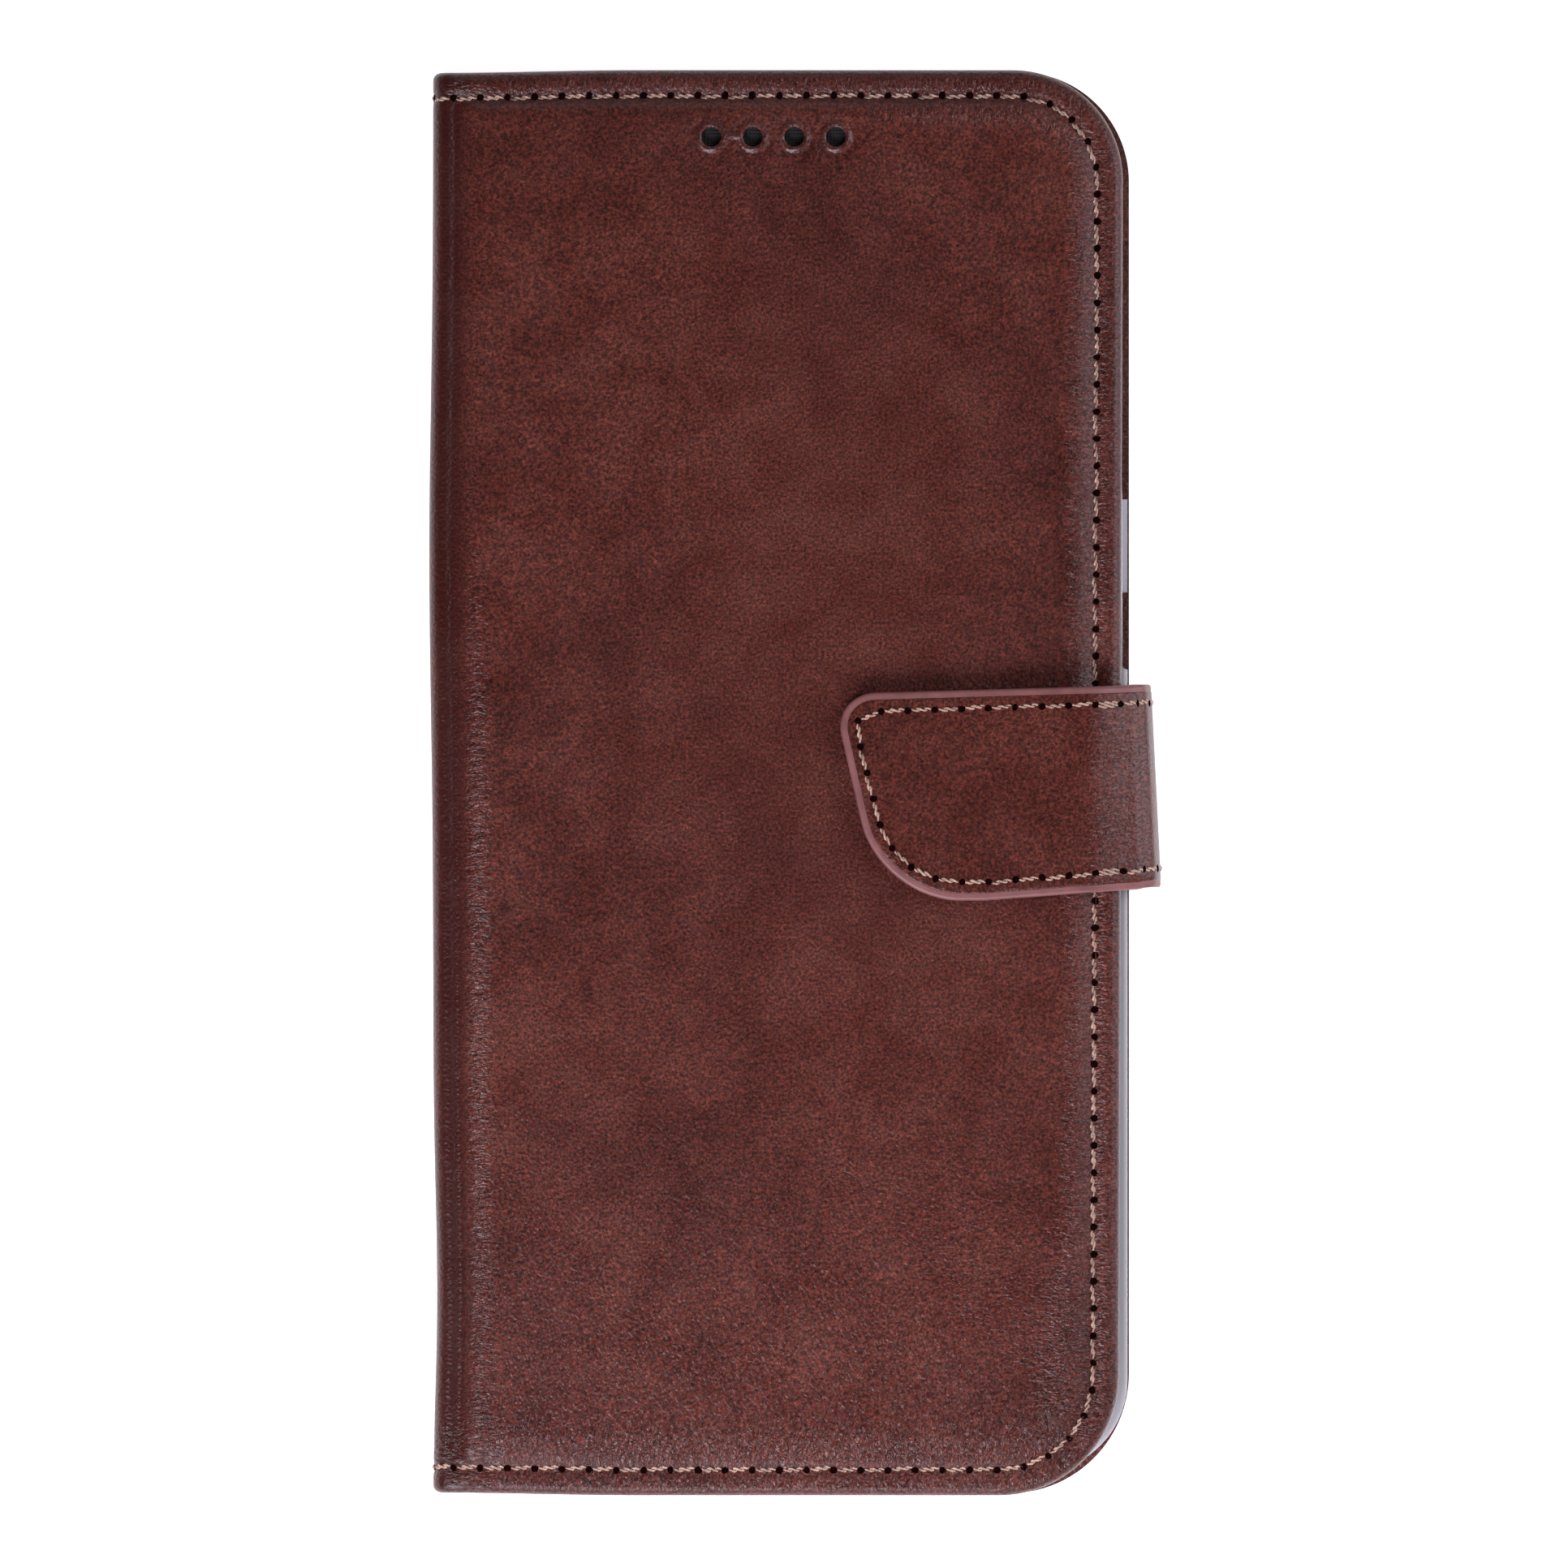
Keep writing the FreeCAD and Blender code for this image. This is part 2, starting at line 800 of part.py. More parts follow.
# ---- strap: side and tab --------------------------------------------------------------------
side_depth = strap_outer_thickness + strap_lining_thickness
side_outer = strap_layer(0, strap_outer_thickness).common(side_sector)
side_outer = side_outer.common(strap_width_slab)
side_lining = strap_layer(strap_outer_thickness, side_depth).common(side_sector)
side_lining = side_lining.common(strap_width_slab)
strap_seam_low = strap_z + strap_bend_radius + 0.6
strap_seam_high = tab_top - strap_bend_radius - 0.6
side_threads = []
for y in (strap_top - strap_seam_inset, strap_bottom + strap_seam_inset):
    side_outer = side_outer.cut(
        box((strap_x - stitch_depth, far), about(y, groove_width), (strap_seam_low, strap_seam_high))
    )
    line = Part.makePolygon([V(strap_x, y, strap_seam_low), V(strap_x, y, strap_seam_high)])
    side_threads += stitches(line, right_way)
parts["strap_side_outer"] = one_solid(side_outer)
parts["strap_side_lining"] = one_solid(side_lining)
parts["strap_side_thread"] = Part.makeCompound(side_threads)

tab_seam_start = strap_x - strap_bend_radius - 0.6
tab_seam_points = [
    (tab_seam_start, strap_bottom + strap_seam_inset, 0),
    (tab_heel_end_x, tab_heel_bottom + strap_seam_inset, 0),
    (tab_heel_x + 1.7, tab_heel_bottom + strap_seam_inset, tab_heel_radius - strap_seam_inset),
    (tab_tip_x + 2.0, tab_tip_top - strap_seam_inset, tab_tip_radius - strap_seam_inset),
    (tab_seam_start, strap_top - strap_seam_inset, 0),
]
tab_line = open_wire(tab_seam_points, tab_top)
core_high = tab_top - strap_outer_thickness
core_low = core_high - strap_core_thickness
tab_outer = strap_layer(0, strap_outer_thickness).common(tab_sector).common(tab_prism)
tab_threads = stitches(tab_line, up)
for thread in tab_threads:
    tab_outer = tab_outer.cut(thread)
parts["strap_tab_outer"] = one_solid(tab_outer)
parts["strap_tab_thread"] = Part.makeCompound(tab_threads)

magnets = [
    cylinder(magnet_middle_x + side * magnet_spacing / 2, magnet_middle_y, magnet_radius, core_low, core_high)
    for side in (-1, 1)
]
tab_core = strap_layer(strap_outer_thickness, strap_outer_thickness + strap_core_thickness)
tab_core = tab_core.common(tab_sector).common(tab_prism)
for magnet in magnets:
    tab_core = tab_core.cut(magnet)
parts["strap_tab_core"] = one_solid(tab_core)
parts["strap_magnets"] = Part.makeCompound(magnets)
tab_lining = strap_layer(strap_outer_thickness + strap_core_thickness, tab_thickness)
tab_lining = tab_lining.common(tab_sector).common(tab_prism)
parts["strap_tab_lining"] = one_solid(tab_lining)

# ---- write one file per piece -----------------------------------------------------------------
os.makedirs("parts", exist_ok=True)
for name, shape in parts.items():
    shape.exportStep("parts/" + name + ".step")
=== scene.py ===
"""Phone wallet case: leather, lining, pockets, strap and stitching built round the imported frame."""

import math
import random

import bmesh
import bpy
import numpy as np
from mathutils import Matrix, Vector


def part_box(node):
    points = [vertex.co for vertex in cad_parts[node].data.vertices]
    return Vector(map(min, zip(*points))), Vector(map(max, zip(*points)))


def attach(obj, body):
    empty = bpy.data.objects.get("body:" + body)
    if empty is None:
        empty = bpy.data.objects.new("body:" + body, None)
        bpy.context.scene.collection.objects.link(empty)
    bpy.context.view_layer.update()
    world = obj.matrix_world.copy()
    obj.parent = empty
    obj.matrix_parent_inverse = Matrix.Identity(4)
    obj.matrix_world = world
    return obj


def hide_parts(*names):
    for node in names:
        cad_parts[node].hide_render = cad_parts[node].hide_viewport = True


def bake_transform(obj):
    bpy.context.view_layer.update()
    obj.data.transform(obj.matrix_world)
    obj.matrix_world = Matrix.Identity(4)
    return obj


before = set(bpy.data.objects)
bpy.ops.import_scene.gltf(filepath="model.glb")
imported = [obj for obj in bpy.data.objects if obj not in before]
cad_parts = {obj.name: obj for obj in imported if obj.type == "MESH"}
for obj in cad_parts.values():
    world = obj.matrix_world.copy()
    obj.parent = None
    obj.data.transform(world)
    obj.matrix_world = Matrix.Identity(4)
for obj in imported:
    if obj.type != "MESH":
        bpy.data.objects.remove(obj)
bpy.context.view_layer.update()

bl_info = {
    "name": "Phone Wallet Case",
    "version": (1, 0, 0),
    "blender": (4, 5, 0),
    "location": "View3D > Sidebar > Wallet Case",
    "description": "Builds a folding phone wallet case in stitched coated leather",
    "category": "Add Mesh",
}

MM = 0.001


def low(node, axis):
    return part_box(node)[0][axis]


def high(node, axis):
    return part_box(node)[1][axis]


# Places that the frame already fixes, in metres.
SPINE_X = low("spine_outer_skin", 0)
EDGE_X = high("back_outer_skin", 0)
HALF = high("back_outer_skin", 1)
FRONT_FACE = high("front_seam_thread", 2)
FRONT_INSIDE = low("front_lining", 2)
BACK_INSIDE = high("back_outer_skin", 2)
SPINE_MIDDLE = (low("spine_outer_skin", 2) + high("spine_outer_skin", 2)) / 2
STRAP_X = high("strap_side_outer", 0)
STRAP_LOW = low("strap_root", 2)
STRAP_HIGH = high("strap_tab_outer", 2)
STRAP_MIDDLE = (STRAP_LOW + STRAP_HIGH) / 2
ROOT_X = low("strap_root", 0)
TAB_X = low("strap_tab_outer", 0)
TAB_LOW = low("strap_tab_lining", 2)
STRAP_TOP = high("strap_side_outer", 1)
STRAP_BOTTOM = low("strap_side_outer", 1)
TAB_BOTTOM = low("strap_tab_outer", 1)
LIGHT = 0.58  # share of the lamps' full strength
SLANT = 0.06  # how far a stitch turns off its seam, in radians
HOLE_REACH = 2.1 * MM  # half the finely cut square round each earpiece hole
RUN_ON = 4 * MM  # how far the strap's outlines run on past where they are trimmed
HOLE_X = (low("speaker_mesh", 0) + high("speaker_mesh", 0)) / 2


# ---- colours ---------------------------------------------------------------------


def paint(code, alpha=True):
    """An sRGB hex colour turned linear."""
    parts = [int(code[i : i + 2], 16) / 255 for i in (1, 3, 5)]
    parts = [c / 12.92 if c <= 0.04045 else ((c + 0.055) / 1.055) ** 2.4 for c in parts]
    return (*parts, 1.0) if alpha else tuple(parts)


def length(name, text, value, **more):
    return bpy.props.FloatProperty(
        name=name,
        description=text,
        default=value * MM,
        subtype="DISTANCE",
        unit="LENGTH",
        precision=5,
        **more,
    )


def colour(name, text, code):
    return bpy.props.FloatVectorProperty(
        name=name,
        description=text,
        default=paint(code, False),
        subtype="COLOR",
        size=3,
        min=0,
        max=1,
    )


class WalletSizes(bpy.types.PropertyGroup):
    """Sizes of the case's cut pieces and stitching."""

    corner_radius: length("Corner radius", "Rounding of the covers' two outer corners", 13.0)
    low_corner_radius: length("Lower corner radius", "Rounding of the covers' lower outer corner", 14.2)
    roll_radius: length("Roll radius", "How tightly the leather rolls round the spine", 2.0)
    leather: length("Leather thickness", "Thickness of the outer leather", 0.75)
    lining: length("Lining thickness", "Thickness of the lining", 0.6)
    rim: length("Turned edge", "Width of the leather turned over onto the inside", 0.85)
    edge_round: length("Edge rounding", "Rounding of the turned edge", 0.95)
    front_edge_top: length("Front edge, top", "Front cover's opening edge at its top end", 40.4)
    front_edge_bottom: length("Front edge, bottom", "The same edge at its bottom end", 39.85)
    pad_rise: length("Pad rise", "How far the padded panel stands up", 0.8)
    front_seam: length("Front seam inset", "Front seam from the cover's edge", 3.0)
    back_seam: length("Back seam inset", "Back seam from the cover's edge", 1.9)
    strap_seam: length("Strap seam inset", "Strap seam from the strap's edge", 2.2)
    stitch: length("Stitch pitch", "Distance from one needle hole to the next", 3.2)
    thread: length("Thread thickness", "Thickness of the two-ply thread", 0.58)
    needle: length("Needle hole", "Radius of a needle hole", 0.42)
    sound_hole: length("Sound hole", "Radius of an earpiece hole", 1.18)
    sound_pitch: length("Sound hole pitch", "Distance between earpiece holes", 4.9)
    sound_from_end: length("Sound hole from end", "Earpiece holes from the cover's end", 7.9)
    strap_bend: length("Strap bend", "Radius of the strap's bend over the cover", 2.5)
    painted_edge: length("Painted edge", "Width of the painted edge seen from above", 0.95)


class WalletColours(bpy.types.PropertyGroup):
    """Colours of the case's finishes."""

    leather_deep: colour("Leather, deep", "Darkest clouds in the leather", "#3a1711")
    leather_mid: colour("Leather, middle", "Main leather colour", "#4c2019")
    leather_pale: colour("Leather, pale", "Palest clouds in the leather", "#5a2c23")
    lining: colour("Lining", "Inside lining", "#5a3527")
    thread: colour("Thread", "Sewing thread", "#bc9b88")
    edge_paint: colour("Edge paint", "Painted edge of the strap", "#7a4c4a")
    tray: colour("Phone tray", "Clear phone tray", "#eeedfb")


def sizes():
    return bpy.context.scene.wallet_sizes


def colours():
    return bpy.context.scene.wallet_colours


# ---- number rules -------------------------------------------------------------------


def ease(low_end, high_end, value):
    """0 below the low end, 1 above the high end and a smooth step between."""
    t = np.clip((value - low_end) / (high_end - low_end), 0, 1)
    return t * t * (3 - 2 * t)


def ridge(value, middle, width):
    return np.exp(-(((value - middle) / width) ** 2))


def front_edge(y):
    s = sizes()
    share = (y + HALF) / (2 * HALF)
    return s.front_edge_bottom + (s.front_edge_top - s.front_edge_bottom) * share


def back_edge(y):
    """The back cover's opening edge, which is straight."""
    return EDGE_X + 0 * y


def inside_by(u, y, edge):
    """How far a point of a cover lies inside its outline."""
    s = sizes()
    radius = np.where(y > 0, s.corner_radius, s.low_corner_radius)
    dx = u - (edge - radius)
    dy = np.abs(y) - (HALF - radius)
    corner = np.hypot(np.maximum(dx, 0), np.maximum(dy, 0))
    straight = np.maximum(dx, dy)
    return radius - np.where((dx > 0) & (dy > 0), corner, straight)


def hole_places():
    s = sizes()
    y = HALF - s.sound_from_end
    return [(HOLE_X + (i - 1.5) * s.sound_pitch, y) for i in range(4)]


def front_height(u, y):
    """Height of the front leather above its margin: pad, crease, seam channel and embossing."""
    s = sizes()
    edge = front_edge(y)
    inside = inside_by(u, y, edge)
    dx = u - (edge - s.corner_radius)
    dy = np.abs(y) - (HALF - s.corner_radius)
    at_end = ease(-6 * MM, 6 * MM, dy - dx)
    end_width = np.where(y > 0, 2.6 * MM, 5.6 * MM)
    width = 4.2 * MM + (end_width - 4.2 * MM) * at_end
    from_seam = (inside - s.front_seam - 0.35 * MM) / width
    from_crease = (u - (SPINE_X + 3.2 * MM)) / (3.6 * MM)
    t = -np.log(np.exp(-6 * np.clip(from_seam, -2, 3)) + np.exp(-6 * np.clip(from_crease, -2, 3))) / 6
    t = np.clip(t + 0.06, 0, 1)
    height = s.pad_rise * (1 - (1 - t) ** 2.3)
    crown = np.clip(1 - (u / (37 * MM)) ** 2, 0, 1) * np.clip(1 - (y / HALF) ** 2, 0, 1)
    height = height + 0.12 * MM * crown
    on_cover = ease(SPINE_X + 1.2 * MM, SPINE_X + 3 * MM, u)
    margin = np.clip(inside / s.front_seam, 0, 1)
    height = height + 0.14 * MM * np.sin(np.pi * margin) * on_cover
    height = height - 0.2 * MM * ridge(inside, s.front_seam, 0.5 * MM)
    height = height - 0.2 * MM * ridge(u, SPINE_X + 2.9 * MM, 0.8 * MM) * ease(0, 4 * MM, inside)
    wander = np.sin(y * 71 + 1.3) * np.cos(y * 43 + u * 60) + np.sin(u * 97 + y * 24)
    height = height + 0.035 * MM * wander * np.clip(t, 0, 1)
    places = hole_places()
    for number, (x, hole_y) in enumerate(places):
        away = np.hypot(u - x, y - hole_y)
        around = np.arctan2(y - hole_y, u - x)
        height = height + (0.16 + 0.09 * np.cos(2 * around - 4.6)) * MM * ridge(away, 1.5 * MM, 0.24 * MM)
        height = height - 0.14 * MM * ridge(away, 2.1 * MM, 0.4 * MM)
        if number < 3:
            between = ease(1.3 * MM, 1.9 * MM, u - x) * ease(1.3 * MM, 1.9 * MM, places[number + 1][0] - u)
            dip = (0.6 - 0.5 * np.sin(np.clip((u - x) / s.sound_pitch, 0, 1) * np.pi)) * MM
            size = (0.24, 0.1, 0.07)[number]
            height = height + size * MM * between * ridge(y, hole_y + dip, 0.3 * MM)
    return height


def back_height(u, y):
    """Height of the back leather over its flat face: only the seam channel and a dent by the spine's crease."""
    s = sizes()
    inside = inside_by(u, y, EDGE_X)
    height = -0.3 * MM * ridge(inside, s.back_seam, 0.5 * MM)
    dent = -0.2 * MM * ridge(u, SPINE_X + 2.9 * MM, 0.7 * MM)
    return height + dent * ease(0, 4 * MM, inside)


def lining_height(edge_rule, seam):
    def rule(u, y):
        inside = inside_by(u, y, edge_rule(y))
        return -0.12 * MM * ridge(inside, seam, 0.45 * MM)

    return rule


# ---- wrapping flat pieces round the spine and the strap's bends -------------------------


def wrap(wall, face, out, up, radius):
    """Lays a flat piece on a face and rolls what passes the wall's corner down that wall."""

    def place(points):
        u, y, h = points.T
        depth = -h
        turn = np.maximum(radius - depth, 0.25 * MM)
        centre = depth + turn
        inward = out * (wall - u)
        past = radius - inward
        reach = 4 * MM
        quarter = radius * math.pi / 2
        x = np.where(
            inward >= radius + reach,
            inward,
            centre + (inward - radius) / reach * (radius + reach - centre),
        )
        z = depth.copy()
        on_arc = (past > 0) & (past < quarter)
        angle = past / radius
        x = np.where(on_arc, centre - turn * np.sin(angle), x)
        z = np.where(on_arc, centre - turn * np.cos(angle), z)
        down = past - quarter
        on_wall = down >= 0
        x = np.where(on_wall, depth, x)
        lower = np.where(down < reach, centre + down / reach * (radius + reach - centre), radius + down)
        z = np.where(on_wall, lower, z)
        return np.stack([wall - out * x, y, face - up * z], 1)

    return place


def bow(points):
    """The spine isn't quite straight: it swells towards its top half and draws in lower down."""
    x, y, z = points.T
    share = 1 - ease(SPINE_X + 2 * MM, SPINE_X + 6 * MM, x)
    ends = 1 - np.clip(np.abs(y) / HALF, 0, 1) ** 8
    swell = -0.46 * MM * ridge(y, 27 * MM, 25 * MM) + 0.5 * MM * ridge(y, -62 * MM, 18 * MM)
    shorten = 1 - 0.0038 * (1 - ease(SPINE_X + 1 * MM, SPINE_X + 24 * MM, x))
    return np.stack([x + swell * share * ends, y * shorten, z], 1)


def front_place(points):
    s = sizes()
    return bow(wrap(SPINE_X, FRONT_FACE, -1, 1, s.roll_radius)(points))


def back_place(points):
    s = sizes()
    return bow(wrap(SPINE_X, 0.0, -1, -1, s.roll_radius)(points))


def slant(points):
    """The strap's outer side leans a little, because the strap was wrapped slightly askew."""
    x, y, z = points.T
    share = ease(EDGE_X - 3 * MM, STRAP_X, x)
    middle = (STRAP_TOP + STRAP_BOTTOM) / 2
    return np.stack([x - share * 0.05 * (y - middle), y, z], 1)


def strap_upper_place(points):
    s = sizes()
    points = points.copy()
    # The strap already starts to give 8 mm before its bend.
    give = 1.3 * MM * np.clip((points[:, 0] - 35.8 * MM) / (8 * MM), 0, 1) ** 1.6
    give += 0.45 * MM * ease(36.2 * MM, 41.2 * MM, points[:, 0])
    points[:, 2] -= give * (1 - ease(STRAP_X - 0.5 * MM, STRAP_X + 4 * MM, points[:, 0]))
    full = STRAP_HIGH - TAB_LOW
    thin = 1 - ease(STRAP_X - 3 * MM, STRAP_X + 2 * MM, points[:, 0]) * (1 - 1.5 * MM / full)
    points[:, 2] *= thin
    return slant(wrap(STRAP_X, STRAP_HIGH, 1, 1, s.strap_bend)(points))


def strap_lower_place(points):
    s = sizes()
    points = points.copy()
    thin = 1 - (1 - ease(STRAP_X - 1 * MM, STRAP_X + 3 * MM, points[:, 0])) * 0.35
    points[:, 2] *= thin
    return slant(wrap(STRAP_X, STRAP_LOW, 1, -1, s.strap_bend)(points))


# ---- cutting and shaping blanks ------------------------------------------------------------


def everything(bm):
    return bm.verts[:] + bm.edges[:] + bm.faces[:]


def cut_outline(bm, corners, level):
    """One flat face cut to an outline of (x, y, radius) corners, given anticlockwise."""
    verts = [bm.verts.new((x, y, level)) for x, y, _ in corners]
    face = bm.faces.new(verts)
    for index, (x, y, radius) in enumerate(corners):
        if radius <= 0:
            continue
        here = Vector((x, y))
        before = (Vector(corners[index - 1][:2]) - here).normalized()
        after = (Vector(corners[(index + 1) % len(corners)][:2]) - here).normalized()
        half = math.acos(max(-1, min(1, before.dot(after)))) / 2
        bmesh.ops.bevel(
            bm,
            geom=[verts[index]],
            offset=radius / math.tan(half),
            offset_type="OFFSET",
            segments=max(6, int(radius * (math.pi - 2 * half) / (0.45 * MM))),
            profile=0.5,
            affect="VERTICES",
            material=-1,
            clamp_overlap=False,
        )
    bm.faces.ensure_lookup_table()
    face = bm.faces[0]
    face.normal_update()
    if face.normal.z < 0:
        face.normal_flip()
    return face


def round_over(bm, face, radius, steps=4):
    """Rounds the edge round a face by shrinking it in steps while it rises."""
    last_in, last_up = 0.0, 0.0
    for step in range(1, steps + 1):
        angle = step / steps * math.pi / 2
        now_in, now_up = radius * (1 - math.cos(angle)), radius * math.sin(angle)
        bmesh.ops.inset_region(
            bm,
            faces=[face],
            thickness=now_in - last_in,
            depth=now_up - last_up,
            use_even_offset=True,
            use_boundary=True,
        )
        last_in, last_up = now_in, now_up


def blank(corners, top, thickness, rounding, under=0.0, steps=4):
    """A flat slab cut to an outline, with its top edge rounded. Returns it with its bottom and top faces."""
    bm = bmesh.new()
    bottom = cut_outline(bm, corners, top - thickness)
    made = bmesh.ops.extrude_face_region(bm, geom=[bottom])
    upper = [g for g in made["geom"] if isinstance(g, bmesh.types.BMFace)][0]
    bmesh.ops.translate(bm, vec=(0, 0, thickness - rounding - under), verts=upper.verts[:])
    if under > 0:
        bmesh.ops.translate(bm, vec=(0, 0, under), verts=bm.verts[:])
    upper.normal_update()
    bottom.normal_update()
    if rounding > 0:
        round_over(bm, upper, rounding, steps)
    if under > 0:
        round_over(bm, bottom, under, steps)
    return bm, bottom, upper


def cut_across(bm, xs, ys):
    """Cuts the slab into a mesh of small faces at the given places, so that it can bend."""
    for axis, places in ((0, xs), (1, ys)):
        normal = Vector((1, 0, 0)) if axis == 0 else Vector((0, 1, 0))
        for place in places:
            bmesh.ops.bisect_plane(
                bm, geom=everything(bm), dist=1e-7, plane_co=normal * place, plane_no=normal
            )


def steps_between(start, end, size):
    count = max(1, round((end - start) / size))
    return [start + (end - start) * i / count for i in range(count)]


def trim(bm, place, axis=0, upper=True):
    """Cuts off what lies past a plane and closes the cut."""
    normal = Vector((1, 0, 0)) if axis == 0 else Vector((0, 1, 0))
    made = bmesh.ops.bisect_plane(
        bm,
        geom=everything(bm),
        dist=1e-7,
        plane_co=normal * place,
        plane_no=normal,
        clear_outer=upper,
        clear_inner=not upper,
    )
    edges = [g for g in made["geom_cut"] if isinstance(g, bmesh.types.BMEdge)]
    bmesh.ops.holes_fill(bm, edges=edges, sides=0)


def punch(bm, x, y, radius, reach):
    """Opens a round hole in a finely cut patch and draws the patch's squares into rings about it."""
    core = reach / 3
    middle = [
        f
        for f in bm.faces
        if abs(f.calc_center_median().x - x) < core and abs(f.calc_center_median().y - y) < core
    ]
    bmesh.ops.delete(bm, geom=middle, context="FACES")
    for vert in bm.verts:
        dx, dy = vert.co.x - x, vert.co.y - y
        square = max(abs(dx), abs(dy))
        if not 0 < square < reach * 0.999:
            continue
        away = math.hypot(dx, dy)
        ring = radius + (square - core) / (reach - core) * (reach - radius)
        share = float(ease(0.72 * reach, reach, square))
        vert.co.x = x + dx * (share + (1 - share) * ring / away)
        vert.co.y = y + dy * (share + (1 - share) * ring / away)


def rise(bm, rule, rounding):
    """Moves the top of a blank by a height rule, fading out down its rounded edge."""
    level = max(v.co.z for v in bm.verts)
    fade = max(rounding, 0.05 * MM)
    moving = [v for v in bm.verts if v.co.z > level - fade]
    co = np.array([v.co for v in moving], float).reshape(-1, 3)
    share = np.clip((co[:, 2] - level + fade) / fade, 0, 1)
    lift = rule(co[:, 0], co[:, 1]) * share
    for vert, amount in zip(moving, lift):
        vert.co.z += float(amount)


def finish_piece(name, bm, material, place=None, mirrored=False, marks=None, sharp=38):
    """Turns a flat blank into a finished object in its place, with marks kept for its material."""
    bmesh.ops.recalc_face_normals(bm, faces=bm.faces[:])
    mesh = bpy.data.meshes.new(name)
    bm.to_mesh(mesh)
    bm.free()
    flat = np.empty(len(mesh.vertices) * 3, np.float32)
    mesh.vertices.foreach_get("co", flat)
    flat = flat.reshape(-1, 3).astype(float)
    for mark, rule in (marks or {}).items():
        layer = mesh.attributes.new(mark, "FLOAT", "POINT")
        layer.data.foreach_set("value", rule(flat[:, 0], flat[:, 1]).astype(np.float32))
    if place is not None:
        mesh.vertices.foreach_set("co", place(flat).astype(np.float32).ravel())
    if mirrored:
        mesh.flip_normals()
    mesh.update()
    mesh.shade_smooth()
    mesh.set_sharp_from_angle(angle=math.radians(sharp))
    mesh.materials.append(material)
    piece = bpy.data.objects.new(name, mesh)
    bpy.context.scene.collection.objects.link(piece)
    return piece


def under_side(place):
    """The same place seen from inside, for pieces that are cut and sewn from the lining's side."""

    def turned(points):
        points = points.copy()
        points[:, 2] *= -1
        return place(points)

    return turned


# ---- seams -------------------------------------------------------------------------------


def rounded_line(corners):
    """Fine points along an open line with rounded corners (x, y, radius)."""
    points = [Vector(corners[0][:2])]
    for index in range(1, len(corners) - 1):
        x, y, radius = corners[index]
        here = Vector((x, y))
        before = (Vector(corners[index - 1][:2]) - here).normalized()
        after = (Vector(corners[index + 1][:2]) - here).normalized()
        half = math.acos(max(-1, min(1, before.dot(after)))) / 2
        if radius <= 0 or half > 1.56:
            points.append(here)
            continue
        start = here + before * radius / math.tan(half)
        middle = here + (before + after).normalized() * radius / math.sin(half)
        turn = start - middle
        end = here + after * radius / math.tan(half) - middle
        swing = turn.angle_signed(end)
        for step in range(17):
            points.append(middle + Matrix.Rotation(-swing * step / 16, 2) @ turn)
    points.append(Vector(corners[-1][:2]))
    return np.array([(p.x, p.y) for p in points])


def needle_places(line, pitch):
    """Needle holes at even steps along a line."""
    run = np.concatenate([[0], np.cumsum(np.hypot(*np.diff(line, axis=0).T))])
    count = max(1, round(run[-1] / pitch))
    at = np.linspace(0, run[-1], count + 1)
    return np.stack([np.interp(at, run, line[:, 0]), np.interp(at, run, line[:, 1])], 1)


def twisted_stitch(reach, thickness):
    """One stitch of two plies twisted round each other, bowed up between its holes."""
    bm = bmesh.new()
    steps = 8
    ply = thickness * 0.27
    for start in (0.0, math.pi):
        middle = Vector((0, math.cos(start), math.sin(start))) * ply
        ring = bmesh.ops.create_circle(
            bm,
            cap_ends=False,
            radius=ply,
            segments=4,
            matrix=Matrix.Translation(middle) @ Matrix.Rotation(math.pi / 2, 4, "Y"),
        )["verts"]
        edges = list({e for v in ring for e in v.link_edges})
        bmesh.ops.spin(
            bm,
            geom=ring + edges,
            cent=(0, 0, 0),
            axis=(1, 0, 0),
            dvec=(reach / steps, 0, 0),
            angle=2 * math.pi * 1.35,
            steps=steps,
            use_merge=False,
            use_duplicate=False,
        )
    bmesh.ops.holes_fill(bm, edges=bm.edges[:], sides=4)
    bmesh.ops.recalc_face_normals(bm, faces=bm.faces[:])
    for vert in bm.verts:
        t = vert.co.x / reach
        full = math.sin(math.pi * min(max(t, 0), 1)) ** 0.5
        vert.co.y *= 0.55 + 0.45 * full
        vert.co.z = vert.co.z * (0.55 + 0.45 * full) + thickness * (0.42 * full - 0.38)
    mesh = bpy.data.meshes.new("stitch")
    bm.to_mesh(mesh)
    bm.free()
    return mesh


